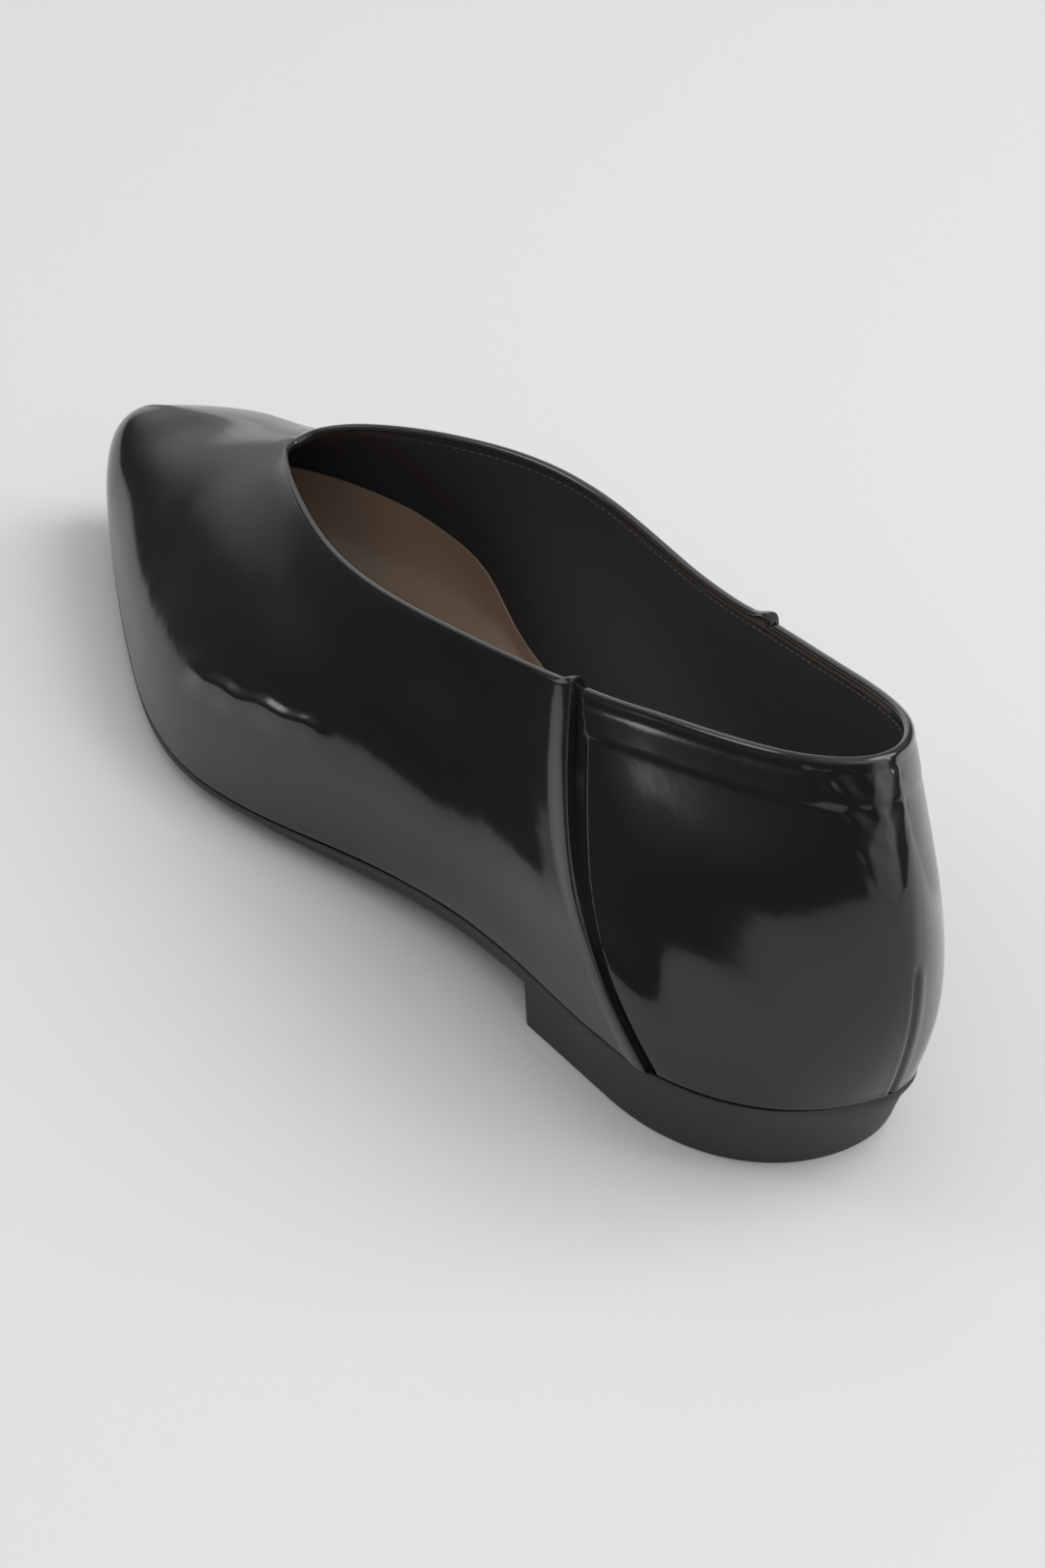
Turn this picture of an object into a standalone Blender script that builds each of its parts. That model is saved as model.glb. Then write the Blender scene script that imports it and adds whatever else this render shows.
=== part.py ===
"""Pointed flat shoe for the left foot: a hollow lasted upper, an insole, an outsole and a low heel.

The toe points along +Y, the medial side is +X, and the shoe stands on z = 0. Sizes are in millimetres and
are turned into metres where a mesh is made. The upper is a fan of ribs, each a Bezier curve that rises from
the feather line, where the upper meets the sole, to the topline or, in front of the throat, to the ridge of
the toe.
"""

import math
from collections import namedtuple

import bmesh
import bpy
import numpy as np

MM = 0.001
LATERAL, MEDIAL = -1, 1  # sides, by the sign of x

# Driving dimensions
LENGTH = 272.0
BALL_WIDTH = 73.0
BACK_HEIGHT = 76.0
WALL = 1.8
GAP = 0.3
OUTSOLE_THICKNESS = 3.7
INSOLE_THICKNESS = 3.0

# The shoe's own origin is below the back of the heel; the part's is below the middle of its box
ORIGIN_X = 1.72
ORIGIN_Y = 132.76

# Feather line: along in percent of LENGTH, across in percent of BALL_WIDTH
FootRow = namedtuple("FootRow", "along_lateral across_lateral along_medial across_medial")
FOOT_BACK = (0.7, 1.6)
FOOT_TOE = (100.1, 8.6)
FOOT_ROWS = (
    FootRow(3.2, -20.3, 2.9, 18.8),
    FootRow(11.7, -34.1, 11.8, 32.2),
    FootRow(25.0, -33.0, 25.0, 34.4),
    FootRow(40.4, -36.0, 41.2, 34.1),
    FootRow(58.8, -48.5, 62.5, 51.4),
    FootRow(75.1, -37.1, 75.4, 47.8),
    FootRow(91.8, -12.5, 90.6, 28.1),
)

# Height of the feather line in millimetres: heel seat, arch, ball and toe spring
FootHeight = namedtuple("FootHeight", "along height")
FOOT_HEIGHTS = (
    FootHeight(0.0, 14.7),
    FootHeight(22.0, 12.5),
    FootHeight(42.0, 8.9),
    FootHeight(58.0, 5.3),
    FootHeight(71.0, 5.2),
    FootHeight(83.0, 6.8),
    FootHeight(96.0, 11.0),
    FootHeight(101.0, 13.0),
)

# Topline: along and across as above, up in percent of BACK_HEIGHT
TopRow = namedtuple("TopRow", "along_lateral across_lateral up_lateral along_medial across_medial up_medial")
TOP_BACK = (0.4, -0.3, 100.7)
TOP_THROAT = (73.3, 8.9, 62.6)
TOP_ROWS = (
    TopRow(4.2, -16.6, 98.9, 5.1, 17.1, 97.2),
    TopRow(14.7, -22.5, 91.4, 14.7, 26.0, 90.3),
    TopRow(22.8, -23.3, 84.6, 23.8, 31.5, 84.3),
    TopRow(38.2, -24.0, 74.9, 36.9, 38.6, 78.0),
    TopRow(55.0, -18.8, 66.3, 54.2, 42.4, 75.2),
    TopRow(69.0, -3.0, 63.8, 69.5, 22.6, 68.8),
)
SEAM_ROW = 3  # the side seams start at this row of the topline, counted from the back

# Ridge of the toe, in front of the throat: along, across and up as above
RIDGE_MIDDLE = (82.9, 12.8, 54.0)
RIDGE_TOE = (92.4, 9.2, 44.5)

# Angles of the ribs in degrees, by their place from the back, 0, to the throat, 0.5: how far they flare out
# at the sole, lean in at the topline, and rake forward as they leave the sole
RibAngles = namedtuple("RibAngles", "around flare lean rake")
RIB_ANGLES = (
    RibAngles(0.00, 27.0, 20.0, 0.0),
    RibAngles(0.10, 20.0, 11.0, 10.0),
    RibAngles(0.21, 12.0, 6.0, 30.0),
    RibAngles(0.34, 6.5, 16.0, 10.0),
    RibAngles(0.43, 4.0, 36.0, 0.0),
    RibAngles(0.50, 3.2, 60.0, 0.0),
)
THROAT_TURN = 50.0  # how far back the ribs turn where they reach the throat and the ridge
VAMP_TURN = 0.75  # share of the topline past which they start to turn
TOE_TURN = 0.3  # share of the ridge past which they turn on, to run straight back at the tip
RIB_FULLNESS = 0.42  # length of a rib's handles as a share of its span

# Where the ribs stand on the feather line, as a share of the way round from the back to the toe
SEAM_FOOT = 0.235
BALL_TOP = 0.72  # this share of the topline, from back to throat, stands over BALL_FOOT
BALL_FOOT = 0.54
THROAT_FOOT = 0.80

# Steps in the wall
SEAM_STEP = 0.9
SEAM_SLOPE = 0.004  # width of the seam's step as a share of the topline
SEAM_LIP = 4.0  # the vamp keeps its full step this far from the seam, and loses it over SEAM_LAP
SEAM_LAP = 12.0
SEAM_DIP = 0.5
SEAM_DIP_WIDTH = 5.0
BAND_STEP = 0.35
BAND_WIDTH = 6.5
STRIP_STEP = 0.5
STRIP_HALF_WIDTH = 9.0
STRIP_LENGTH = 36.0
EDGE = 0.5  # width of a step's slope
CURL_IN = 2.0
CURL_DOWN = 1.3

# Sole: how far its top and bottom edges lie inside the feather line
OUTSOLE_TOP_INSET = 0.9
OutsoleEdge = namedtuple("OutsoleEdge", "along bottom_inset")
OUTSOLE_EDGES = (
    OutsoleEdge(0.0, 1.6),
    OutsoleEdge(30.0, 1.6),
    OutsoleEdge(45.0, 2.6),
    OutsoleEdge(60.0, 4.6),
    OutsoleEdge(85.0, 4.2),
    OutsoleEdge(101.0, 2.4),
)
INSOLE_INSET = WALL + 1.0
INSOLE_DISH = 1.2

# Heel block at the floor
HEEL_HALF_WIDTH = 23.4
HEEL_BACK = 9.6
HEEL_ROUND = 32.0
HEEL_BREAST = 66.5
HEEL_BREAST_TOP = 68.0
HEEL_BREAST_HOLLOW = 2.0
HEEL_CORNER = 2.2  # exponent of the round back

# Mesh sizes
QUARTER_RIBS = 18
VAMP_RIBS = 24
TOE_RIBS = 10
WALL_ROWS = 15
CURL_ROWS = 2
SOLE_STATIONS = 56
INSOLE_COLUMNS = 6
HEEL_SIDE_STATIONS = 3
NEARBY = 0.0002  # half a step along a curve, for its direction
SAME_POINT = 1e-4  # millimetres
SHARP_ANGLE = 35.0

MATERIALS = {
    "upper": ((0.012, 0.012, 0.013), 0.12),
    "insole": ((0.10, 0.068, 0.048), 0.6),
    "outsole": ((0.018, 0.018, 0.019), 0.55),
    "heel": ((0.018, 0.018, 0.019), 0.55),
}


def clear_scene():
    for obj in list(bpy.data.objects):
        bpy.data.objects.remove(obj, do_unlink=True)


def closed_spline(points):
    """A smooth closed curve through the points, as a function of 0..1 round the loop."""
    points = np.asarray(points, float)
    count = len(points)
    system = 4 * np.eye(count) + np.roll(np.eye(count), 1, 0) + np.roll(np.eye(count), -1, 0)
    bend = np.linalg.solve(system, 6 * (np.roll(points, 1, 0) - 2 * points + np.roll(points, -1, 0)))

    def curve(place):
        spot = np.atleast_1d(np.asarray(place, float)) % 1.0 * count
        first = np.floor(spot).astype(int) % count
        second = (first + 1) % count
        b = (spot - np.floor(spot))[:, None]
        a = 1 - b
        straight = a * points[first] + b * points[second]
        return straight + ((a**3 - a) * bend[first] + (b**3 - b) * bend[second]) / 6

    return curve


def smooth_through(places, values):
    """A smooth open curve through values at rising places, with natural ends."""
    places = np.asarray(places, float)
    values = np.asarray(values, float)
    step = np.diff(places)
    slope = np.diff(values, axis=0) / (step if values.ndim == 1 else step[:, None])
    count = len(places)
    system = np.eye(count)
    right = np.zeros_like(values)
    for i in range(1, count - 1):
        system[i, i - 1 : i + 2] = step[i - 1], 2 * (step[i - 1] + step[i]), step[i]
        right[i] = 6 * (slope[i] - slope[i - 1])
    bend = np.linalg.solve(system, right)

    def curve(place):
        place = np.clip(np.atleast_1d(np.asarray(place, float)), places[0], places[-1])
        i = np.clip(np.searchsorted(places, place, side="right") - 1, 0, count - 2)
        b = (place - places[i]) / step[i]
        a = 1 - b
        size = step[i] ** 2 / 6
        if values.ndim > 1:
            a, b, size = a[:, None], b[:, None], size[:, None]
        return a * values[i] + b * values[i + 1] + ((a**3 - a) * bend[i] + (b**3 - b) * bend[i + 1]) * size

    return curve


def smooth_step(low, high, value):
    """0 below low, 1 above high, and a smooth slope between."""
    share = np.clip((np.asarray(value, float) - low) / (high - low), 0, 1)
    return share * share * (3 - 2 * share)


def unit(vectors):
    return vectors / np.linalg.norm(vectors, axis=-1, keepdims=True)


def spot(along, across, up=None):
    """A table's percentages as millimetres."""
    place = [across * BALL_WIDTH / 100, along * LENGTH / 100]
    return place if up is None else place + [up * BACK_HEIGHT / 100]


FOOT_LINE = closed_spline(
    [spot(*FOOT_BACK)]
    + [spot(row.along_lateral, row.across_lateral) for row in FOOT_ROWS]
    + [spot(*FOOT_TOE)]
    + [spot(row.along_medial, row.across_medial) for row in reversed(FOOT_ROWS)]
)
TOP_LINE = closed_spline(
    [spot(*TOP_BACK)]
    + [spot(row.along_lateral, row.across_lateral, row.up_lateral) for row in TOP_ROWS]
    + [spot(*TOP_THROAT)]
    + [spot(row.along_medial, row.across_medial, row.up_medial) for row in reversed(TOP_ROWS)]
)
FOOT_HEIGHT = smooth_through(
    [row.along * LENGTH / 100 for row in FOOT_HEIGHTS], [row.height for row in FOOT_HEIGHTS]
)
RIDGE = smooth_through([0.0, 0.5, 1.0], [spot(*TOP_THROAT), spot(*RIDGE_MIDDLE), spot(*RIDGE_TOE)])
SEAM_TOP = 2 * SEAM_ROW / (2 * len(TOP_ROWS) + 2)  # share of the way from the back to the throat


def rib_table(column):
    return smooth_through([row.around for row in RIB_ANGLES], [getattr(row, column) for row in RIB_ANGLES])


FLARE = rib_table("flare")
LEAN = rib_table("lean")
RAKE = rib_table("rake")
# Each collar rib's place on the feather line, from its place on the topline
FOOT_OF_RIB = smooth_through([0.0, SEAM_TOP, BALL_TOP, 1.0], [0.0, SEAM_FOOT, BALL_FOOT, THROAT_FOOT])


def wrap(half, side):
    """A share of the way from back to front on one side, as a place round a closed loop."""
    return np.where(side == LATERAL, half / 2, 1 - half / 2)


def across(points):
    """Unit vectors that point out of the feather line at these places round it."""
    ahead = FOOT_LINE(points + NEARBY) - FOOT_LINE(points - NEARBY)
    return unit(np.column_stack([-ahead[:, 1], ahead[:, 0]]))


def foot_points(place):
    plan = FOOT_LINE(place)
    return np.column_stack([plan, FOOT_HEIGHT(plan[:, 1])])


def rib_foot(collar, toe):
    """Where a rib stands on the feather line, as a share of the way from the back to the toe."""
    return np.where(toe <= 0, FOOT_OF_RIB(collar), THROAT_FOOT + (1 - THROAT_FOOT) * toe)


def ribs(collar, toe, side):
    """Four points of each rib's curve, from its collar place, toe place and side.

    A collar place goes 0..1 from back to throat, and a toe place 0..1 from there to the tip of the ridge.
    """
    on_collar = toe <= 0
    place = wrap(rib_foot(collar, toe), side)
    foot = foot_points(place)
    out = np.column_stack([across(place), np.zeros(len(place))])
    ahead = np.column_stack([-out[:, 1], out[:, 0], np.zeros(len(place))]) * side[:, None]
    up = np.array([0.0, 0.0, 1.0])
    top = np.where(on_collar[:, None], TOP_LINE(wrap(collar, side)), RIDGE(toe))
    span = np.linalg.norm(top - foot, axis=1)[:, None] * RIB_FULLNESS

    around = np.where(on_collar, collar / 2, 0.5)
    flare = np.radians(FLARE(around))[:, None]
    rake = np.radians(RAKE(around))[:, None]
    lean = np.radians(LEAN(around))[:, None]

    # The ribs lean in across the shoe; at the throat and along the ridge they lie in the ridge's own slope
    inside = up * np.cos(lean) - out * np.sin(lean)
    turn = np.radians(THROAT_TURN + (90 - THROAT_TURN) * smooth_step(TOE_TURN, 1.0, toe))[:, None]
    sideways = np.outer(-side, [1.0, 0.0, 0.0])
    on_ridge = np.cos(turn) * sideways + np.sin(turn) * ridge_back(toe)
    blend = smooth_step(VAMP_TURN, 1.0, collar)[:, None]
    arrive = unit(inside * (1 - blend) + on_ridge * blend)
    rise = unit(up * np.cos(flare) + out * np.sin(flare) + ahead * np.tan(rake))
    return np.stack([foot, foot + span * rise, top - span * arrive, top], axis=1)


def on_ribs(handles, rows):
    """Points of every rib at the given shares of its height, ribs first."""
    v = rows[None, :, None]
    a, b, c, d = (handles[:, None, i] for i in range(4))
    return (1 - v) ** 3 * a + 3 * (1 - v) ** 2 * v * b + 3 * (1 - v) * v**2 * c + v**3 * d


def collar_places():
    """Ribs from the back to the throat, close together on both faces of the side seam's step."""
    quarter = np.linspace(0, SEAM_TOP, QUARTER_RIBS + 1)
    vamp = np.linspace(SEAM_TOP + SEAM_SLOPE, 1, VAMP_RIBS + 1)
    return np.concatenate([quarter, vamp])


def rib_places():
    """Collar place, toe place and side of every rib, once round the shoe from the back."""
    collar = [(place, 0.0) for place in collar_places()]
    toe = [(1.0, place) for place in np.linspace(0, 1, TOE_RIBS + 1)[1:]]
    lateral = [(*place, LATERAL) for place in collar + toe]
    medial = [(*place, MEDIAL) for place in collar + toe][-2:0:-1]
    return np.array(lateral + medial).T


def ridge_back(toe):
    """Unit vectors that run back along the ridge of the toe."""
    return unit(RIDGE(np.clip(toe - NEARBY, 0, 1)) - RIDGE(np.clip(toe + NEARBY, 0, 1)))


def normals_of(grid, toe):
    """Unit normals of a grid that is closed round the shoe, pointing outwards. The ridge is level across."""
    round_shoe = np.roll(grid, -1, 0) - np.roll(grid, 1, 0)
    up_wall = np.gradient(grid, axis=1)
    normals = np.cross(up_wall, round_shoe)
    on_ridge = toe > 0
    back = ridge_back(toe[on_ridge])
    normals[on_ridge, -1] = np.array([0.0, 0.0, 1.0]) - back * back[:, 2:]
    return unit(normals)


def relief(collar, side, grid):
    """How far the outer skin stands off the last's surface, in millimetres."""
    below_top = np.linalg.norm(grid - grid[:, -1:], axis=2)
    from_back = np.linalg.norm(grid - grid[0], axis=2)
    from_seam = np.empty(grid.shape[:2])
    for mine in (side == LATERAL, side == MEDIAL):
        seam_line = grid[mine & (collar == SEAM_TOP)]
        from_seam[mine] = np.linalg.norm(grid[mine] - seam_line, axis=2)
    vamp = SEAM_STEP * (1 - smooth_step(SEAM_LIP, SEAM_LAP, from_seam))
    dip = SEAM_DIP * (1 - smooth_step(0, SEAM_DIP_WIDTH, from_seam))
    band = BAND_STEP * (1 - smooth_step(BAND_WIDTH - EDGE, BAND_WIDTH + EDGE, below_top))
    half_width = STRIP_HALF_WIDTH * (1 - below_top / STRIP_LENGTH)
    strip = STRIP_STEP * (1 - smooth_step(half_width - EDGE, half_width + EDGE, from_back))
    return np.where(collar[:, None] > SEAM_TOP, vamp, band + strip - dip)


def bridge(bm, first, second, closed=True):
    """Faces between two rows of vertices."""
    count = len(first)
    for i in range(count if closed else count - 1):
        j = (i + 1) % count
        corners = []
        for vertex in (first[i], first[j], second[j], second[i]):
            if vertex not in corners:
                corners.append(vertex)
        if len(corners) > 2 and bm.faces.get(corners) is None:
            bm.faces.new(corners)


def finished(name, bm):
    """An object from a mesh in the shoe's own millimetres, in metres from the part's origin."""
    bmesh.ops.translate(bm, verts=bm.verts, vec=(-ORIGIN_X, -ORIGIN_Y, 0))
    bmesh.ops.scale(bm, verts=bm.verts, vec=(MM, MM, MM))
    bmesh.ops.recalc_face_normals(bm, faces=bm.faces)
    mesh = bpy.data.meshes.new(name)
    bm.to_mesh(mesh)
    bm.free()
    mesh.shade_smooth()
    mesh.set_sharp_from_angle(angle=math.radians(SHARP_ANGLE))
    obj = bpy.data.objects.new(name, mesh)
    bpy.context.collection.objects.link(obj)
    colour, roughness = MATERIALS[name]
    material = bpy.data.materials.new(name)
    material.use_nodes = True
    shader = material.node_tree.nodes["Principled BSDF"]
    shader.inputs["Base Color"].default_value = (*colour, 1)
    shader.inputs["Roughness"].default_value = roughness
    mesh.materials.append(material)
    return obj


def meet_on_ridge(skin, throat, tip):
    """The two sides' ribs that reach the throat or the ridge end together, midway between them."""
    for i in range(throat, tip):
        j = 2 * tip - i
        skin[i, -1] = skin[j, -1] = (skin[i, -1] + skin[j, -1]) / 2


def curl_lines(collar, toe, side, feather):
    """Rows of points where the upper's foot curls in under the feather line, lowest first."""
    out = np.column_stack([across(wrap(rib_foot(collar, toe), side)), np.zeros(len(collar))])
    lines = []
    for k in range(CURL_ROWS, 0, -1):
        angle = math.pi / 2 * k / CURL_ROWS
        line = feather - out * CURL_IN * (1 - math.cos(angle))
        line[:, 2] -= CURL_DOWN * math.sin(angle)
        lines.append(line)
    return lines


def add_upper():
    """The lasted shell: an outer skin with its steps, an inner skin, and rims at topline and sole."""
    collar, toe, side = rib_places()
    grid = on_ribs(ribs(collar, toe, side), np.linspace(0, 1, WALL_ROWS + 1))
    normals = normals_of(grid, toe)
    outer = grid + normals * relief(collar, side, grid)[:, :, None]
    inner = grid - normals * WALL
    throat = int(np.argmax(collar == 1))
    tip = int(np.argmax(toe))
    for skin in (outer, inner):
        meet_on_ridge(skin, throat, tip)

    bm = bmesh.new()
    lines = [inner[:, row] for row in range(WALL_ROWS, -1, -1)]
    lines += curl_lines(collar, toe, side, outer[:, 0])
    lines += [outer[:, row] for row in range(WALL_ROWS + 1)]
    stack = [[bm.verts.new(point) for point in line] for line in lines]
    for first, second in zip(stack, stack[1:]):
        bridge(bm, first, second)
    rim = list(range(throat + 1)) + list(range(2 * tip - throat + 1, len(collar)))
    bridge(bm, [stack[-1][i] for i in rim], [stack[0][i] for i in rim])
    bmesh.ops.remove_doubles(bm, verts=bm.verts, dist=SAME_POINT)
    return finished("upper", bm)


def edge_line(share, side, inset):
    """Points of one side's edge at these shares of the way from back to toe, inside the feather line."""
    place = wrap(share, side)
    plan = FOOT_LINE(place)
    return plan - across(place) * inset(plan[:, 1])[:, None]


def side_lines(inset):
    """Lateral and medial edges of a plate from back to toe, inside the feather line by inset(along)."""
    share = np.linspace(0, 1, SOLE_STATIONS + 1)
    return [edge_line(share, side, inset) for side in (LATERAL, MEDIAL)]


def plate(bm, top_edges, bottom_edges, top_height, bottom_height, columns=1):
    """A closed plate between two outlines that share their stations, crowned by its height functions."""
    count = len(top_edges[0])

    def sheet(edges, height):
        made = []
        for i in range(count):
            left, right = edges[0][i], edges[1][i]
            if i in (0, count - 1):
                point = (left + right) / 2
                one = bm.verts.new((*point, height(point[1], 0.0)))
                made.append([one] * (columns + 1))
                continue
            line = []
            for k in range(columns + 1):
                share = k / columns
                point = left + (right - left) * share
                line.append(bm.verts.new((*point, height(point[1], 2 * share - 1))))
            made.append(line)
        return made

    top = sheet(top_edges, top_height)
    bottom = sheet(bottom_edges, bottom_height)
    for lines in (top, bottom):
        for first, second in zip(lines, lines[1:]):
            bridge(bm, first, second, closed=False)
    for k in (0, columns):
        bridge(bm, [line[k] for line in top], [line[k] for line in bottom], closed=False)


def outsole_top(along):
    return float(FOOT_HEIGHT(along)[0]) - CURL_DOWN - GAP


def outsole_bottom(along):
    return max(0.0, outsole_top(along) - OUTSOLE_THICKNESS)


def add_outsole():
    bm = bmesh.new()
    places = [row.along * LENGTH / 100 for row in OUTSOLE_EDGES]
    insets = [row.bottom_inset for row in OUTSOLE_EDGES]
    top = side_lines(lambda y: np.full(len(y), OUTSOLE_TOP_INSET))
    bottom = side_lines(lambda y: np.interp(y, places, insets))
    plate(bm, top, bottom, lambda y, share: outsole_top(y), lambda y, share: outsole_bottom(y))
    return finished("outsole", bm)


def add_insole():
    """A board that fits inside the upper and rests on the outsole, its top a little hollow across."""
    bm = bmesh.new()
    edges = side_lines(lambda y: np.full(len(y), INSOLE_INSET))

    def top(along, share):
        return outsole_top(along) + GAP + INSOLE_THICKNESS - INSOLE_DISH * (1 - share * share)

    plate(bm, edges, edges, top, lambda y, share: outsole_top(y) + GAP, INSOLE_COLUMNS)
    return finished("insole", bm)


def heel_edges():
    """Lateral and medial edges of the heel at the floor, from back to breast."""
    angle = np.linspace(0, math.pi / 2, SOLE_STATIONS // 2)
    power = 2 / HEEL_CORNER
    x = HEEL_HALF_WIDTH * np.sin(angle) ** power
    y = HEEL_BACK + HEEL_ROUND * (1 - np.cos(angle) ** power)
    straight = np.linspace(HEEL_BACK + HEEL_ROUND, HEEL_BREAST, HEEL_SIDE_STATIONS + 1)[1:]
    x = np.concatenate([x, np.full(len(straight), HEEL_HALF_WIDTH)])
    y = np.concatenate([y, straight])
    return [np.column_stack([-x, y]), np.column_stack([x, y])]


def add_heel():
    """A block under the heel seat: its top follows the outsole, its back is cut in towards the floor."""
    bm = bmesh.new()
    floor = heel_edges()
    count = len(floor[0])
    top = []
    for edge in side_lines(lambda y: np.full(len(y), OUTSOLE_EDGES[0].bottom_inset + GAP)):
        stations = np.arange(len(edge))
        share = np.linspace(0, np.interp(HEEL_BREAST_TOP, edge[:, 1], stations), count)
        top.append(np.column_stack([np.interp(share, stations, edge[:, k]) for k in (0, 1)]))
    rows = ((top, lambda y: outsole_bottom(y) - GAP), (floor, lambda y: 0.0))
    lines = []
    for edges, height in rows:
        pairs = []
        for i in range(count):
            left, right = edges[0][i], edges[1][i]
            if i == 0:
                point = (left + right) / 2
                one = bm.verts.new((*point, height(point[1])))
                pairs.append((one, one, one))
                continue
            middle = (left + right) / 2
            if i == count - 1:
                middle = middle - np.array([0.0, HEEL_BREAST_HOLLOW])
            pairs.append(tuple(bm.verts.new((*p, height(p[1]))) for p in (left, middle, right)))
        lines.append(pairs)
    for pairs in lines:
        for first, second in zip(pairs, pairs[1:]):
            bridge(bm, first, second, closed=False)
    for k in (0, 2):
        bridge(bm, [p[k] for p in lines[0]], [p[k] for p in lines[1]], closed=False)
    bridge(bm, lines[0][-1], lines[1][-1], closed=False)
    return finished("heel", bm)


def main():
    clear_scene()
    add_upper()
    add_insole()
    add_outsole()
    add_heel()


main()
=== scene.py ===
"""Looks of a pointed flat shoe in black patent leather, laid out as a Blender add-on.

The upper, lining, sock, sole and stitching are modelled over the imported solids, in their own frame: the toe
points along +Y, the medial side is +X, and the shoe stands on z = 0. Shapes are worked out in millimetres
from below the back of the heel, and are turned into metres from the part's origin where a mesh is made.
"""

import math
from collections import namedtuple

import bmesh
import bpy
import numpy as np
from bpy.props import FloatProperty, FloatVectorProperty, PointerProperty
from mathutils import Matrix, Vector, noise


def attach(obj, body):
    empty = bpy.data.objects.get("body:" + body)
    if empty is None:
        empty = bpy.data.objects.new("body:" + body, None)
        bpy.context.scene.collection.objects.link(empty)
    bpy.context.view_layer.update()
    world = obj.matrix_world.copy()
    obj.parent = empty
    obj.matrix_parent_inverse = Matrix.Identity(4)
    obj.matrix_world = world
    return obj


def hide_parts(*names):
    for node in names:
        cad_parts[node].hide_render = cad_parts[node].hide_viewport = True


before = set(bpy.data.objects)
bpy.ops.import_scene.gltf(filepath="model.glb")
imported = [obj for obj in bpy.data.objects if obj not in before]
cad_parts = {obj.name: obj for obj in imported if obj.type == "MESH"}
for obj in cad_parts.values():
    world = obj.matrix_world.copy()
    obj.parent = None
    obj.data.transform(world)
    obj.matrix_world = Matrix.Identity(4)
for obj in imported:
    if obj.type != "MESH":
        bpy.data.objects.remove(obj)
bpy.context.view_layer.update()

bl_info = {
    "name": "Pointed Flat Shoe",
    "version": (1, 0, 0),
    "blender": (4, 5, 0),
    "location": "View3D > Sidebar > Shoe",
    "description": "Dresses a pointed flat shoe's solids in patent leather, lining, sock, sole and stitching",
    "category": "Object",
}

BODY = "root"
LEANING = "leaning"  # mesh attribute that holds how far a point's normal leans
MM = 0.001
LATERAL, MEDIAL = -1, 1  # sides, by the sign of x
UP = np.array([0.0, 0.0, 1.0])

# The last, as in the part's own source: lengths in millimetres, tables in percent
LENGTH = 272.0
BALL_WIDTH = 73.0
BACK_HEIGHT = 76.0
GAP = 0.3
OUTSOLE_THICKNESS = 3.7
INSOLE_THICKNESS = 3.0
ORIGIN_X = 1.72
ORIGIN_Y = 132.76

FootRow = namedtuple("FootRow", "along_lateral across_lateral along_medial across_medial")
FOOT_BACK = (0.7, 1.6)
FOOT_TOE = (100.1, 8.6)
FOOT_ROWS = (
    FootRow(3.2, -20.3, 2.9, 18.8),
    FootRow(11.7, -34.1, 11.8, 32.2),
    FootRow(25.0, -33.0, 25.0, 34.4),
    FootRow(40.4, -36.0, 41.2, 34.1),
    FootRow(58.8, -48.5, 62.5, 51.4),
    FootRow(75.1, -37.1, 75.4, 47.8),
    FootRow(91.8, -12.5, 90.6, 28.1),
)

FootHeight = namedtuple("FootHeight", "along height")
FOOT_HEIGHTS = (
    FootHeight(0.0, 14.7),
    FootHeight(22.0, 12.5),
    FootHeight(42.0, 8.9),
    FootHeight(58.0, 5.3),
    FootHeight(71.0, 5.2),
    FootHeight(83.0, 6.8),
    FootHeight(96.0, 11.0),
    FootHeight(101.0, 13.0),
)

# How far the sock's edge runs up the wall from the feather line
SockEdge = namedtuple("SockEdge", "along above")
SOCK_EDGES = (
    SockEdge(0.0, 3.6),
    SockEdge(40.0, 3.8),
    SockEdge(50.0, 5.2),
    SockEdge(55.0, 6.6),
    SockEdge(60.7, 7.6),
    SockEdge(63.4, 10.4),
    SockEdge(65.4, 14.4),
    SockEdge(68.0, 17.1),
    SockEdge(70.4, 18.4),
    SockEdge(73.7, 20.4),
    SockEdge(77.7, 21.2),
    SockEdge(81.0, 20.8),
    SockEdge(84.0, 19.6),
    SockEdge(86.3, 17.6),
    SockEdge(95.0, 8.0),
    SockEdge(101.0, 4.0),
)

TopRow = namedtuple("TopRow", "along_lateral across_lateral up_lateral along_medial across_medial up_medial")
TOP_BACK = (0.4, -0.3, 100.7)
TOP_THROAT = (73.3, 8.9, 62.6)
TOP_ROWS = (
    TopRow(4.2, -16.6, 98.9, 5.1, 17.1, 97.2),
    TopRow(14.7, -22.5, 91.4, 14.7, 26.0, 90.3),
    TopRow(22.8, -23.3, 84.6, 23.8, 31.5, 84.3),
    TopRow(38.2, -24.0, 74.9, 36.9, 38.6, 78.0),
    TopRow(55.0, -18.8, 66.3, 54.2, 42.4, 75.2),
    TopRow(69.0, -3.0, 63.8, 69.5, 22.6, 68.8),
)
SEAM_ROW = 3
SEAM_TOP = 2 * SEAM_ROW / (2 * len(TOP_ROWS) + 2)  # share of the way from the back to the throat
RIDGE_MIDDLE = (82.9, 12.8, 54.0)
RIDGE_TOE = (92.4, 9.2, 44.5)

RibAngles = namedtuple("RibAngles", "around flare lean rake")
RIB_ANGLES = (
    RibAngles(0.00, 27.0, 20.0, 0.0),
    RibAngles(0.10, 20.0, 11.0, 10.0),
    RibAngles(0.21, 12.0, 6.0, 30.0),
    RibAngles(0.34, 6.5, 16.0, 10.0),
    RibAngles(0.43, 4.0, 36.0, 0.0),
    RibAngles(0.50, 3.2, 60.0, 0.0),
)
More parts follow.
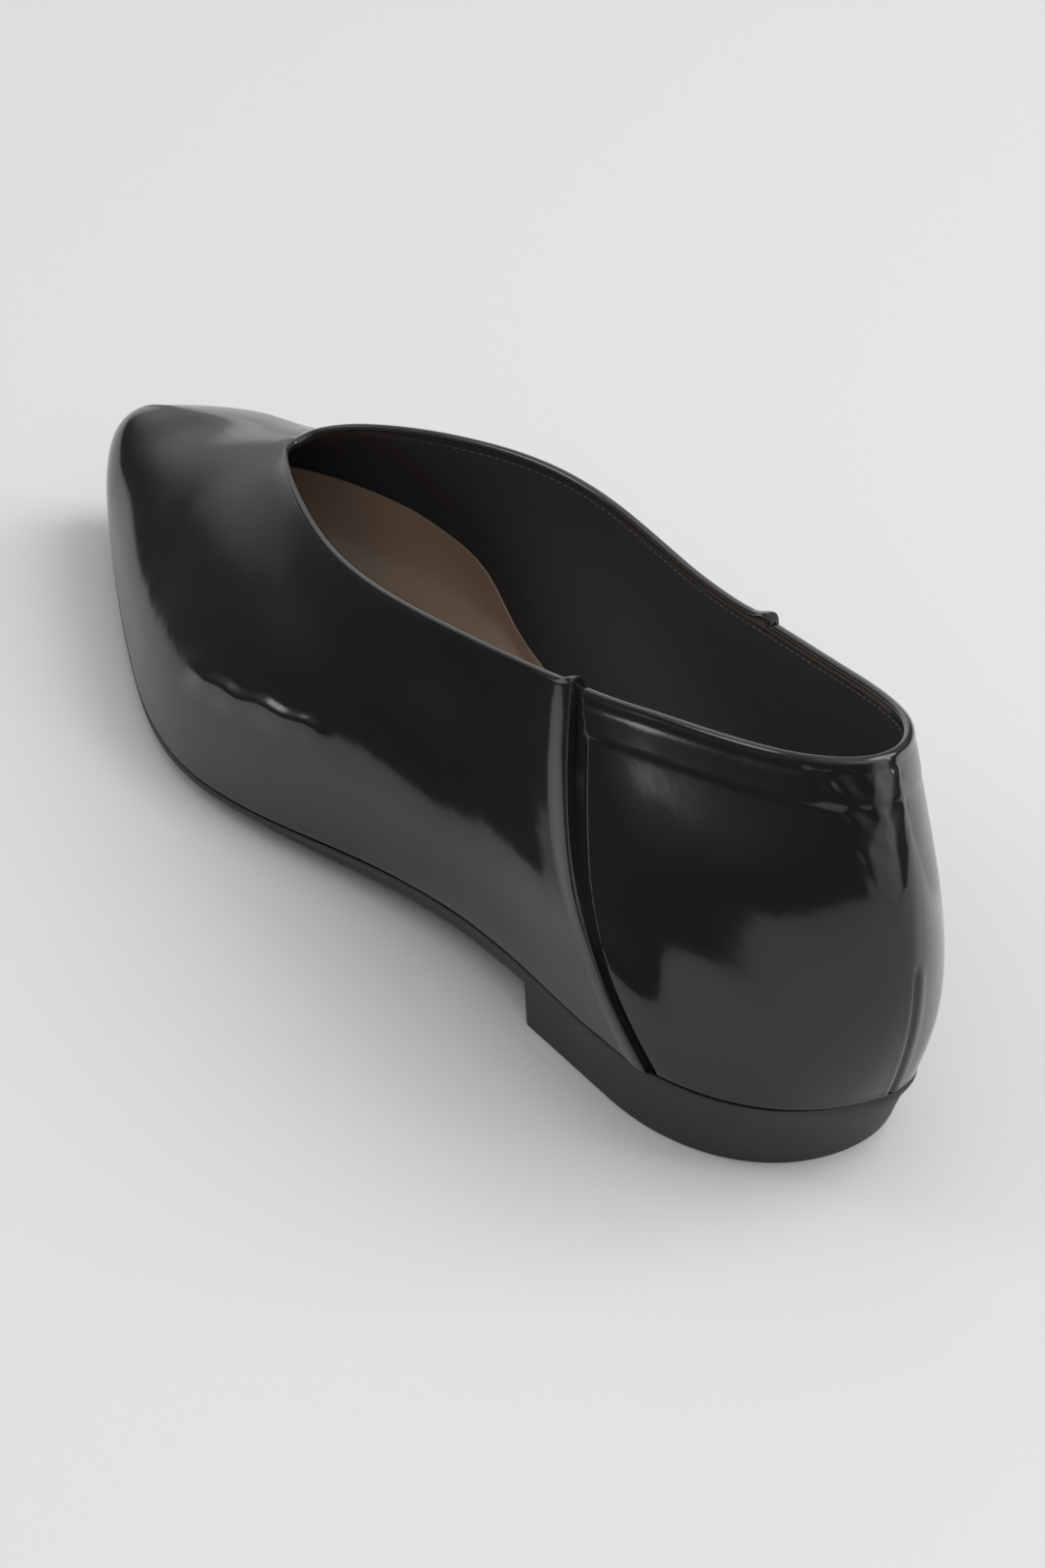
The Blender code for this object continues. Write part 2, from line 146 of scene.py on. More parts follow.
# Extra lean of the upper's normals, in degrees, at six heights from the sole to the topline. It turns what
# the gloss mirrors, and leaves the wall's shape alone. Around is 0 to 1 on the collar and 1 to 2 on the toe.
LeanRow = namedtuple("LeanRow", "around degrees")
GLOSS_HEIGHTS = (0.0, 0.2, 0.4, 0.6, 0.8, 1.0)
GLOSS_LEAN_ROWS = (
    LeanRow(0.00, (0.0, 0.0, 1.5, 5.0, 9.0, 11.0)),
    LeanRow(0.06, (0.4, 1.3, 3.5, 8.0, 14.0, 17.0)),
    LeanRow(0.14, (-0.1, 3.3, 6.4, 13.8, 22.4, 24.9)),
    LeanRow(0.24, (4.6, 3.6, 8.7, 11.4, 26.8, 26.8)),
    LeanRow(0.34, (14.3, 6.0, 4.6, 8.9, 20.4, 26.7)),
    LeanRow(0.43, (-0.9, 5.3, 13.5, 9.3, 14.2, 22.1)),
    LeanRow(0.54, (5.1, 8.3, 7.9, 4.9, 12.2, 16.9)),
    LeanRow(0.66, (-4.2, 1.9, -0.7, -2.0, 6.5, 21.2)),
    LeanRow(0.78, (14.8, 0.1, -9.3, -1.2, 15.2, 27.5)),
    LeanRow(0.88, (12.7, 12.4, 6.9, 0.7, 2.8, 8.3)),
    LeanRow(1.00, (7.4, 12.7, 8.3, 1.4, -0.2, 2.1)),
    LeanRow(1.15, (10.2, 10.2, 6.3, 6.7, 0.0, -3.7)),
    LeanRow(1.35, (4.3, 8.3, 9.3, 6.7, 2.9, -1.6)),
    LeanRow(1.60, (-2.7, 2.0, 6.3, 5.1, 1.7, 0.0)),
    LeanRow(2.00, (0.0, 0.0, 0.0, 0.0, 0.0, 0.0)),
)
GLOSS_MEDIAL = (0.75, 1.0)  # on the medial side, the lean dies out over this part of the collar
GLOSS_RIDGE = (0.9, 1.0)  # near the ridge, it dies out from this part of the collar on
THROAT_TURN = 50.0  # degrees from across the ridge to along it, for the ribs at the throat
VAMP_TURN = 0.75  # the collar's ribs begin to turn that way here
TOE_TURN = 0.3  # and the toe's ribs turn on to the ridge's own direction from here
RIB_FULLNESS = 0.42  # a rib's handles, as a share of its span
SEAM_FOOT = 0.235
BALL_TOP = 0.72
BALL_FOOT = 0.54
THROAT_FOOT = 0.80

OUTSOLE_TOP_INSET = 0.9
OutsoleEdge = namedtuple("OutsoleEdge", "along bottom_inset")
OUTSOLE_EDGES = (
    OutsoleEdge(0.0, 1.6),
    OutsoleEdge(30.0, 1.6),
    OutsoleEdge(45.0, 2.6),
    OutsoleEdge(60.0, 4.6),
    OutsoleEdge(85.0, 4.2),
    OutsoleEdge(101.0, 2.4),
)
INSOLE_DISH = 1.2
HEEL_HALF_WIDTH = 23.4
HEEL_BACK = 9.6
HEEL_ROUND = 32.0
HEEL_BREAST = 66.5
HEEL_BREAST_TOP = 68.0
HEEL_BREAST_HOLLOW = 2.0
HEEL_CORNER = 2.2
HEEL_ROUND_SHARE = 0.9  # share of the heel's stations on its round back
CURL_IN = 2.0
CURL_DOWN = 1.3

# Layers of the wall, as depths in millimetres below the last's surface
FOLD_DEPTH = 1.7
FOLD_BEVEL = 0.2
LINING_DEPTH = 1.5
LINING_TUCK = 0.1  # the lining begins this far below the fold's edge
PATENT_BACK = 1.3
LINING_BACK = 1.35
RIM_RISE = 0.8  # the rolled rim stands this far above the cut edge

# Ribs from the back to the throat, closer together where the wall has fine steps
RibStretch = namedtuple("RibStretch", "end ribs")
COLLAR_STRETCHES = (
    RibStretch(0.012, 9),
    RibStretch(0.075, 34),
    RibStretch(SEAM_TOP - 0.03, 66),
    RibStretch(SEAM_TOP, 16),
    RibStretch(SEAM_TOP + 0.004, 6),
    RibStretch(SEAM_TOP + 0.034, 16),
    RibStretch(1.0, 96),
)
TOE_START = 0.07
TOE_RIBS = 44
TOP_ZONE = 9.5  # rows lie close together this far below the topline
TOP_ZONE_ROWS = 28
WALL_ROWS = 84
RIM_ROWS = 9
FOLD_ROWS = 5
HIDDEN_ROWS = 16
HIDDEN_START = 0.1  # the first of them, as a share of the way down
LINING_ROWS = 45
CURL_ROWS = 5
INSIDE_THIN = 2  # the lining, sock and stitches have the skin's ribs divided by this
RIB_STEPS = 81  # points that a rib is measured with
EDGE_STEPS = 801  # points that one side of the feather line is measured with
SOCK_COLUMNS = 24
SOCK_WALL_ROWS = 10
SOCK_SMOOTHING = 6  # passes that round the corner where the sock turns up the wall
SOCK_LEVEL = 2.6  # the sock's flat part above the feather line
SOCK_FACE_DEPTH = 2.0
SOCK_CLEARANCE = 0.1
HEEL_STATIONS = 48
SOLE_STATIONS = 90
SOLE_COLUMNS = 12
SOLE_EDGE = 0.01  # millimetres; narrower stations have no wall of their own
SoleWallRow = namedtuple("SoleWallRow", "down inset rise")  # down is a share of the wall's height
SOLE_WALL = (
    SoleWallRow(0.0, 0.3, 0.0),
    SoleWallRow(0.0, -0.35, 0.5),
    SoleWallRow(0.0, -0.6, 0.4),
    SoleWallRow(0.0, -0.8, 0.0),
    SoleWallRow(0.0, -0.75, -0.5),
    SoleWallRow(0.0, -0.3, -0.9),
    SoleWallRow(0.3, 0.0, 0.0),
    SoleWallRow(0.6, 0.0, 0.0),
    SoleWallRow(0.92, 0.0, 0.0),
    SoleWallRow(0.98, 0.12, 0.0),
    SoleWallRow(1.0, 0.45, 0.0),
)
STITCH_PITCH = 1.3  # from one stitch to the next, in stitch lengths
STITCH_INSET = 0.8
STITCH_SEGMENTS = 8
STITCH_RINGS = 6

# Relief of the upper, in millimetres. Pairs are the ends of a smooth step, unless a comment says otherwise.
LIP_TURN = 0.6  # radius of the vamp's folded edge
LIP_NEAR = (0.6, 7.0)  # distances from the seam over which the lip falls away, in two slopes
LIP_FAR = (3.0, 14.0)
LIP_NEAR_SHARE = 0.65
SEAM_TUCK = 0.7  # the quarter goes this far under the vamp's edge
CREASE_FRONT = (168.0, 22.4)  # along and up
CREASE_BACK = (129.0, 27.4)
CREASE_WANDER = ((0.0, 0.2, 0.35, 0.5, 0.7, 0.85, 1.0), (0.0, 0.5, -0.4, 0.4, -0.3, 0.5, -0.6))
CREASE_HEIGHT = 0.62
CREASE_STARTS = (-0.1, 0.1)  # shares of its length
CREASE_ENDS = (0.75, 1.05)
CREASE_RISES = (-5.0, -1.0)  # across its line, from below
CREASE_FALLS = (-1.0, 1.0)
VALLEY_WIDTH = 2.0
VALLEY_SPREAD = 2.8  # what its width grows by between topline and foot
VALLEY_TOP = (0.0, 9.0)  # below the topline
VALLEY_FOOT = (0.2, 0.8)  # shares of the wall's height, from the topline
VALLEY_SIDE = (0.55, 1.0)  # shares of its width
BAND_STEP = 0.8
GROOVE_DEPTH = 0.08  # the groove under the rim
GROOVE_DROP = 1.4
GROOVE_WIDTH = 0.6
STRIP_STEP = 1.4
PUCKERS = ((3.2, 1.0), (8.3, 1.0), (13.5, 0.6), (20.0, 0.3))  # rows below the topline, and their strength
PUCKER_HEIGHT = 0.14
PUCKER_PERIOD = 4.2
PUCKER_WIDTH = 1.5
# The line of the back seam: distances below the topline, and aside of the back's middle
BACK_LINE = ((0.0, 15.0, 36.0, 76.0), (-5.0, -2.5, 1.5, 3.5))
BACK_SEAM_STARTS = (-3.0, 1.0)  # past the strip's point
BACK_SEAM_DEPTH = 0.45
BACK_SEAM_WIDTH = 0.45
SWELL_HEIGHT = 0.12  # the leather's swell on each side of the back seam
SWELL_ASIDE = 1.3
SWELL_WIDTH = 0.8
Wave = namedtuple("Wave", "length height")
WAVES = (Wave(17.0, 0.10), Wave(6.0, 0.022))
CORNER_RISE = 1.0  # the vamp's top corner stands this far above the quarter's topline
CORNER_REACH = 4.0
CORNER_DROP = 8.0
TOE_SMOOTHING = 60  # passes that blend the ribs of the collar into those of the toe
TOE_BLEND = 16  # ribs each side of the throat that they reach
TOE_BLEND_FADE = (0.4, 1.0)  # shares of that reach
TOE_BLEND_DROP = (1.0, 8.0)  # below the topline
RIDGE_SMOOTHING = 300  # passes that round the ridge of the toe
RIDGE_ROWS = 28  # rows each side of the ridge that they reach
RIDGE_STARTS = (0.0, 0.25)  # shares of the ridge's length
RIDGE_ENDS = (0.6, 0.95)
SMOOTHING_WEIGHT = 0.5
RIDGE_REACH = 12.0  # the gloss leans less and less this near to the ridge
LEVEL_STARTS = (0.75, 0.9)  # shares of the ridge's length where it becomes level across
LEVEL_DROP = (6.0, 12.0)  # below the ridge
NEARBY = 0.0002  # half a step along a curve, for its direction
SAME_POINT = 1e-6  # metres; it also keeps a division from dividing by nothing
SHARP_ANGLE = 40.0


class ShoeSizes(bpy.types.PropertyGroup):
    """Fine sizes of the shoe that the solids don't hold."""

    lip_rise: FloatProperty(
        name="Vamp edge", description="How far the vamp's folded edge stands off the last",
        default=0.9 * MM, unit="LENGTH",
    )
    valley_depth: FloatProperty(
        name="Seam valley", description="How far the quarter dips beside the vamp's edge",
        default=1.0 * MM, unit="LENGTH",
    )
    band_rise: FloatProperty(
        name="Topline band", description="Rise of the turned band along the quarter's topline",
        default=0.16 * MM, unit="LENGTH",
    )
    band_width: FloatProperty(
        name="Band width", description="Width of the turned band", default=6.5 * MM, unit="LENGTH"
    )
    strip_rise: FloatProperty(
        name="Back strip", description="Rise of the strip over the back seam",
        default=0.15 * MM, unit="LENGTH",
    )
    strip_length: FloatProperty(
        name="Strip length", description="Length of the back strip, to its point",
        default=36 * MM, unit="LENGTH",
    )
    strip_half_width: FloatProperty(
        name="Strip half width", description="Half of the back strip's width at the topline",
        default=7.5 * MM, unit="LENGTH",
    )
    fold_width: FloatProperty(
        name="Fold", description="How far the patent leather folds over into the shoe",
        default=0.8 * MM, unit="LENGTH",
    )
    stitch_length: FloatProperty(
        name="Stitch", description="Length of one stitch", default=1.6 * MM, unit="LENGTH"
    )
    stitch_width: FloatProperty(
        name="Thread", description="Width of the thread", default=0.35 * MM, unit="LENGTH"
    )


class ShoeFinish(bpy.types.PropertyGroup):
    """Colours and gloss."""

    patent: FloatVectorProperty(
        name="Patent", description="Colour under the patent coat",
        default=(0.008, 0.008, 0.009), subtype="COLOR",
    )
    patent_roughness: FloatProperty(
        name="Patent roughness", description="Roughness of the patent coat", default=0.09, subtype="FACTOR"
    )
    lining: FloatVectorProperty(
        name="Lining", description="Colour of the lining", default=(0.027, 0.029, 0.036), subtype="COLOR"
    )
    sock: FloatVectorProperty(
        name="Sock", description="Colour of the leather sock", default=(0.42, 0.31, 0.23), subtype="COLOR"
    )
    sole: FloatVectorProperty(
        name="Sole", description="Colour of the sole and heel", default=(0.02, 0.02, 0.021), subtype="COLOR"
    )
    thread: FloatVectorProperty(
        name="Thread", description="Colour of the stitching", default=(0.07, 0.07, 0.075), subtype="COLOR"
    )


class ShoeStage(bpy.types.PropertyGroup):
    """Floor, light and camera."""

    floor: FloatVectorProperty(
        name="Floor", description="Colour of the floor", default=(0.61, 0.61, 0.61), subtype="COLOR"
    )
    light: FloatProperty(
        name="Light", description="Strength of all the lights", default=1.0, subtype="FACTOR"
    )
    lens: FloatProperty(name="Lens", description="Focal length in millimetres", default=98.0, unit="CAMERA")


def closed_spline(points):
    """A smooth closed curve through the points, as a function of 0..1 round the loop."""
    points = np.asarray(points, float)
    count = len(points)
    system = 4 * np.eye(count) + np.roll(np.eye(count), 1, 0) + np.roll(np.eye(count), -1, 0)
    bend = np.linalg.solve(system, 6 * (np.roll(points, 1, 0) - 2 * points + np.roll(points, -1, 0)))

    def curve(place):
        spot = np.atleast_1d(np.asarray(place, float)) % 1.0 * count
        first = np.floor(spot).astype(int) % count
        second = (first + 1) % count
        b = (spot - np.floor(spot))[:, None]
        a = 1 - b
        straight = a * points[first] + b * points[second]
        return straight + ((a**3 - a) * bend[first] + (b**3 - b) * bend[second]) / 6

    return curve


def smooth_through(places, values):
    """A smooth open curve through values at rising places, with natural ends."""
    places = np.asarray(places, float)
    values = np.asarray(values, float)
    step = np.diff(places)
    slope = np.diff(values, axis=0) / (step if values.ndim == 1 else step[:, None])
    count = len(places)
    system = np.eye(count)
    right = np.zeros_like(values)
    for i in range(1, count - 1):
        system[i, i - 1 : i + 2] = step[i - 1], 2 * (step[i - 1] + step[i]), step[i]
        right[i] = 6 * (slope[i] - slope[i - 1])
    bend = np.linalg.solve(system, right)

    def curve(place):
        place = np.clip(np.atleast_1d(np.asarray(place, float)), places[0], places[-1])
        i = np.clip(np.searchsorted(places, place, side="right") - 1, 0, count - 2)
        b = (place - places[i]) / step[i]
        a = 1 - b
        size = step[i] ** 2 / 6
        if values.ndim > 1:
            a, b, size = a[:, None], b[:, None], size[:, None]
        return a * values[i] + b * values[i + 1] + ((a**3 - a) * bend[i] + (b**3 - b) * bend[i + 1]) * size

    return curve


def smooth_step(low, high, value):
    """0 below low, 1 above high, and a smooth slope between."""
    share = np.clip((np.asarray(value, float) - low) / (high - low), 0, 1)
    return share * share * (3 - 2 * share)


def bump(value, width):
    """A soft hump of height 1 at value 0."""
    return np.exp(-((value / width) ** 2))


def unit(vectors):
    """Vectors of length 1 that point the same ways."""
    return vectors / np.linalg.norm(vectors, axis=-1, keepdims=True)


def spot(along, across, up=None):
    """A table's percentages as millimetres; heights are those of the edge that the rim is rolled over."""
    place = [across * BALL_WIDTH / 100, along * LENGTH / 100]
    return place if up is None else place + [up * BACK_HEIGHT / 100 - RIM_RISE]


FOOT_LINE = closed_spline(
    [spot(*FOOT_BACK)]
    + [spot(row.along_lateral, row.across_lateral) for row in FOOT_ROWS]
    + [spot(*FOOT_TOE)]
    + [spot(row.along_medial, row.across_medial) for row in reversed(FOOT_ROWS)]
)
TOP_LINE = closed_spline(
    [spot(*TOP_BACK)]
    + [spot(row.along_lateral, row.across_lateral, row.up_lateral) for row in TOP_ROWS]
    + [spot(*TOP_THROAT)]
    + [spot(row.along_medial, row.across_medial, row.up_medial) for row in reversed(TOP_ROWS)]
)
FOOT_HEIGHT = smooth_through(
    [row.along * LENGTH / 100 for row in FOOT_HEIGHTS], [row.height for row in FOOT_HEIGHTS]
)
SOCK_EDGE = smooth_through(
    [row.along * LENGTH / 100 for row in SOCK_EDGES], [row.above for row in SOCK_EDGES]
)
RIDGE = smooth_through([0.0, 0.5, 1.0], [spot(*TOP_THROAT), spot(*RIDGE_MIDDLE), spot(*RIDGE_TOE)])


def rib_table(rows, column):
    """A curve through one column of a table, level at the back, where the other side is its mirror image."""
    rows = [row._replace(around=-row.around) for row in rows[2:0:-1]] + list(rows)
    return smooth_through([row.around for row in rows], [getattr(row, column) for row in rows])


FLARE = rib_table(RIB_ANGLES, "flare")
LEAN = rib_table(RIB_ANGLES, "lean")
RAKE = smooth_through([row.around for row in RIB_ANGLES], [row.rake for row in RIB_ANGLES])
GLOSS_LEAN = rib_table(GLOSS_LEAN_ROWS, "degrees")
FOOT_OF_RIB = smooth_through([0.0, SEAM_TOP, BALL_TOP, 1.0], [0.0, SEAM_FOOT, BALL_FOOT, THROAT_FOOT])


def wrap(half, side):
    """A share of the way from back to front on one side, as a place round a closed loop."""
    return np.where(side == LATERAL, half / 2, 1 - half / 2)


def across(points):
    """Unit vectors that point out of the feather line at these places round it."""
    ahead = FOOT_LINE(points + NEARBY) - FOOT_LINE(points - NEARBY)
    return unit(np.column_stack([-ahead[:, 1], ahead[:, 0]]))


def foot_points(place):
    """Points of the feather line at these places round it."""
    plan = FOOT_LINE(place)
    return np.column_stack([plan, FOOT_HEIGHT(plan[:, 1])])


def rib_foot(collar, toe):
    """Where a rib stands on the feather line, as a share of the way from the back to the toe."""
    return np.where(toe <= 0, FOOT_OF_RIB(collar), THROAT_FOOT + (1 - THROAT_FOOT) * toe)


def ridge_back(toe):
    """Unit vectors that run back along the ridge of the toe."""
    return unit(RIDGE(np.clip(toe - NEARBY, 0, 1)) - RIDGE(np.clip(toe + NEARBY, 0, 1)))


def rib_handles(collar, toe, side):
    """Four points of each rib's curve, from its collar place, toe place and side."""
    on_collar = toe <= 0
    place = wrap(rib_foot(collar, toe), side)
    foot = foot_points(place)
    out = np.column_stack([across(place), np.zeros(len(place))])
    ahead = np.column_stack([-out[:, 1], out[:, 0], np.zeros(len(place))]) * side[:, None]
    top = np.where(on_collar[:, None], TOP_LINE(wrap(collar, side)), RIDGE(toe))
    span = np.linalg.norm(top - foot, axis=1)[:, None] * RIB_FULLNESS

    around = np.where(on_collar, collar / 2, 0.5)
    flare = np.radians(FLARE(around))[:, None]
    rake = np.radians(RAKE(around))[:, None]
    lean = np.radians(LEAN(around))[:, None]
    inside = UP * np.cos(lean) - out * np.sin(lean)
    turn = np.radians(THROAT_TURN + (90 - THROAT_TURN) * smooth_step(TOE_TURN, 1.0, toe))[:, None]
    sideways = np.outer(-side, [1.0, 0.0, 0.0])
    on_ridge = np.cos(turn) * sideways + np.sin(turn) * ridge_back(toe)
    blend = smooth_step(VAMP_TURN, 1.0, collar)[:, None]
    arrive = unit(inside * (1 - blend) + on_ridge * blend)
    rise = unit(UP * np.cos(flare) + out * np.sin(flare) + ahead * np.tan(rake))
    return np.stack([foot, foot + span * rise, top - span * arrive, top], axis=1)


def on_ribs(handles, share):
    """Points of every rib at its own row of shares of the way up, ribs first."""
    v = share[:, :, None]
    a, b, c, d = (handles[:, None, i] for i in range(4))
    return (1 - v) ** 3 * a + 3 * (1 - v) ** 2 * v * b + 3 * (1 - v) * v**2 * c + v**3 * d


def share_at(handles, drop):
    """The share of each rib's height at these distances below its top, measured along the rib."""
    steps = np.linspace(1, 0, RIB_STEPS)
    line = on_ribs(handles, np.tile(steps, (len(handles), 1)))
    run = np.linalg.norm(np.diff(line, axis=1), axis=2)
    gone = np.concatenate([np.zeros((len(handles), 1)), np.cumsum(run, axis=1)], axis=1)
    share = np.array([np.interp(mine, along, steps) for mine, along in zip(drop, gone)])
    return share, gone[:, -1]


def rib_lengths(handles):
    """Length of each rib, from its foot to its top."""
    return share_at(handles, np.zeros((len(handles), 1)))[1]


def half_places(thin):
    """Collar and toe place of the ribs of one side, from the back to the tip; thin leaves ribs out."""
    collar = [0.0]
    for stretch in COLLAR_STRETCHES:
        ribs = max(2, stretch.ribs // thin)
        collar += list(np.linspace(collar[-1], stretch.end, ribs + 1)[1:])
    toe = list(np.linspace(TOE_START, 1, TOE_RIBS // thin))
    return [(place, 0.0) for place in collar] + [(1.0, place) for place in toe]


class Wall:
    """The last's surface as ribs once round the shoe, with what the layers of the upper are measured from."""

    def __init__(self, drops, thin=1):
        self.thin = thin
        half = half_places(thin)
        lateral = [(*place, LATERAL) for place in half]
        medial = [(*place, MEDIAL) for place in half][-2:0:-1]
        self.collar, self.toe, self.side = np.array(lateral + medial).T
        self.tip = len(half) - 1
        self.throat = int(np.argmax(self.collar == 1))
        self.ridge = self.toe > 0
        handles = rib_handles(self.collar, self.toe, self.side)
        self.length = rib_lengths(handles)
        self.drop = drops(self.length[:, None])
        share, _ = share_at(handles, self.drop)
        self.points = on_ribs(handles, share)
        self.normals = self.surface_normals()
        self.out = np.column_stack([across(self.foot_place()), np.zeros(len(half) * 2 - 2)])
        self.up_wall = self.rim_directions()

    def foot_place(self):
        """Where the ribs stand, as places round the feather line."""
        return wrap(rib_foot(self.collar, self.toe), self.side)

    def surface_normals(self):
        """Unit normals that point out of the shoe. The ridge of the toe is level across where it ends."""
        round_shoe = np.roll(self.points, -1, 0) - np.roll(self.points, 1, 0)
        normals = np.cross(round_shoe, np.gradient(self.points, axis=1))
        normals /= np.maximum(np.linalg.norm(normals, axis=2, keepdims=True), SAME_POINT)
        back = ridge_back(self.toe)
        level = unit(UP - back * back[:, 2:])[:, None]
        share = smooth_step(*LEVEL_STARTS, self.toe)[:, None] * (1 - smooth_step(*LEVEL_DROP, self.drop))
        share[(self.collar == 1)[:, None] & (self.drop == 0)] = 1
        return unit(normals + (level - normals) * share[:, :, None])

    def rim_directions(self):
        """Unit vectors at the topline that go on up the wall, across the topline."""
        place = wrap(self.collar, self.side)
        along = TOP_LINE(place + NEARBY) - TOP_LINE(place - NEARBY)
        return unit(np.cross(along, self.normals[:, 0]))

    def at_edge(self, drop, depth):
        """A row that follows the topline, this far below it and this deep in the wall."""
        depth = np.broadcast_to(depth, len(self.collar))[:, None]
        drop = np.broadcast_to(drop, len(self.collar))[:, None]
        return self.points[:, 0] - self.up_wall * drop - self.normals[:, 0] * depth

    def layer(self, depth):
        """The wall's points at one depth, evened out across the throat."""
        skin = self.points - self.normals * depth
        blend_toe(self, skin)
        return skin

    def from_seam(self):
        """Distance of every point from the side seam of its own side."""
        distance = np.empty(self.points.shape[:2])
        for side in (LATERAL, MEDIAL):
            mine = self.side == side
            seam = self.points[mine & (np.abs(self.collar - SEAM_TOP) < NEARBY)]
            distance[mine] = np.linalg.norm(self.points[mine] - seam, axis=2)
        return distance

    def gloss_height(self):
        """A height in millimetres whose slope up the wall is the extra lean of the gloss."""
        around = self.collar + self.toe
        leans = GLOSS_LEAN(around)
        medial_toe = np.where(self.side == MEDIAL, smooth_step(*GLOSS_MEDIAL, around), 0)
        leans = leans * (1 - medial_toe)[:, None]
        up = 1 - self.drop / self.length[:, None]
        lean = np.array([smooth_through(GLOSS_HEIGHTS, mine)(at) for mine, at in zip(leans, up)])
        slope = np.tan(np.radians(lean))
        falls = (slope[:, 1:] + slope[:, :-1]) / 2 * np.diff(self.drop, axis=1)
        height = np.zeros_like(self.drop)
        height[:, :-1] = -np.cumsum(falls[:, ::-1], axis=1)[:, ::-1]
        return height

    def gloss_slope(self):
        """The slope of the gloss height over the wall, as vectors that point the way it rises."""
        height = self.gloss_height()
        around = np.roll(self.points, -1, 0) - np.roll(self.points, 1, 0)
        down = np.gradient(self.points, axis=1)
        rise_around = np.roll(height, -1, 0) - np.roll(height, 1, 0)
        rise_down = np.gradient(height, axis=1)
        e = (around * around).sum(2)
        f = (around * down).sum(2)
        g = (down * down).sum(2)
        area = np.maximum(e * g - f * f, SAME_POINT)
        slope = ((g * rise_around - f * rise_down) / area)[:, :, None] * around
        slope += ((e * rise_down - f * rise_around) / area)[:, :, None] * down
        blend_toe(self, slope)
        on_toe = smooth_step(*GLOSS_RIDGE, self.collar + self.toe)[:, None]
        by_ridge = on_toe * (1 - smooth_step(0, RIDGE_REACH, self.drop))
        return slope * (1 - by_ridge)[:, :, None]

    def meet_on_ridge(self, row):
        """Ends the two sides' ribs on the ridge together, midway between them."""
        left = np.arange(self.throat + 1, self.tip)
        right = 2 * self.tip - left
        row[left] = row[right] = (row[left] + row[right]) / 2
        return row


def vamp_relief(wall, sizes):
    """How far the vamp stands off the last: a folded edge along the side seam, and one soft crease."""
    from_seam = wall.from_seam()
    rise = sizes.lip_rise / MM
    short = np.clip(LIP_TURN - from_seam, 0, LIP_TURN)
    fold = LIP_TURN - np.sqrt(LIP_TURN**2 - short**2)
    near = 1 - smooth_step(*LIP_NEAR, from_seam)
    far = 1 - smooth_step(*LIP_FAR, from_seam)
    return rise * (LIP_NEAR_SHARE * near + (1 - LIP_NEAR_SHARE) * far) - fold + crease(wall)


def crease(wall):
    """A shallow crease in the lateral vamp where the leather was bent."""
    along = (CREASE_FRONT[0] - wall.points[:, :, 1]) / (CREASE_FRONT[0] - CREASE_BACK[0])
    line = CREASE_FRONT[1] + (CREASE_BACK[1] - CREASE_FRONT[1]) * along
    wander = np.interp(along, *CREASE_WANDER)
    off = wall.points[:, :, 2] - line - wander
    reach = smooth_step(*CREASE_STARTS, along) * (1 - smooth_step(*CREASE_ENDS, along))
    shape = CREASE_HEIGHT * smooth_step(*CREASE_RISES, off) * (1 - smooth_step(*CREASE_FALLS, off))
    return np.where(wall.side[:, None] == LATERAL, shape * reach, 0)


def quarter_relief(wall, sizes):
    """How far the quarter stands off the last: band, back strip and the valley beside the side seam."""
    from_seam = wall.from_seam()
    below = wall.drop
    share = below / wall.length[:, None]
    spread = VALLEY_SPREAD * smooth_step(*VALLEY_TOP, below) * (1 - smooth_step(*VALLEY_FOOT, share))
    valley_width = VALLEY_WIDTH + spread
    height = -sizes.valley_depth / MM * (1 - smooth_step(*VALLEY_SIDE, from_seam / valley_width))

    band = sizes.band_width / MM
    height += sizes.band_rise / MM * (1 - smooth_step(band - BAND_STEP, band + BAND_STEP, below))
    height -= GROOVE_DEPTH * bump(below - GROOVE_DROP, GROOVE_WIDTH)
    return height + back_relief(wall, sizes)


def back_relief(wall, sizes):
    """The strip over the top of the back seam, puckered where it is sewn, and the seam below it."""
    below = wall.drop
    length = sizes.strip_length / MM
    from_back = np.linalg.norm(wall.points - wall.points[0], axis=2)
    aside = from_back * wall.side[:, None] - np.interp(below, *BACK_LINE)
    half_width = sizes.strip_half_width / MM * (1 - below / length)
    on_strip = 1 - smooth_step(half_width - STRIP_STEP, half_width + STRIP_STEP, np.abs(aside))
    height = sizes.strip_rise / MM * on_strip
    rows = sum(size * bump(below - at, PUCKER_WIDTH) for at, size in PUCKERS)
    height += PUCKER_HEIGHT * rows * np.sin(aside * 2 * math.pi / PUCKER_PERIOD) * on_strip
    starts, shows = (length + past for past in BACK_SEAM_STARTS)
    swell = SWELL_HEIGHT * bump(np.abs(aside) - SWELL_ASIDE, SWELL_WIDTH)
    groove = BACK_SEAM_DEPTH * bump(aside, BACK_SEAM_WIDTH)
    return height + smooth_step(starts, shows, below) * (swell - groove)


def waviness(points):
    """A slight unevenness of the stretched leather, in millimetres."""
    flat = [Vector(point) for point in points.reshape(-1, 3)]
    height = sum(wave.height * np.array([noise.noise(p / wave.length) for p in flat]) for wave in WAVES)
    return height.reshape(points.shape[:2])


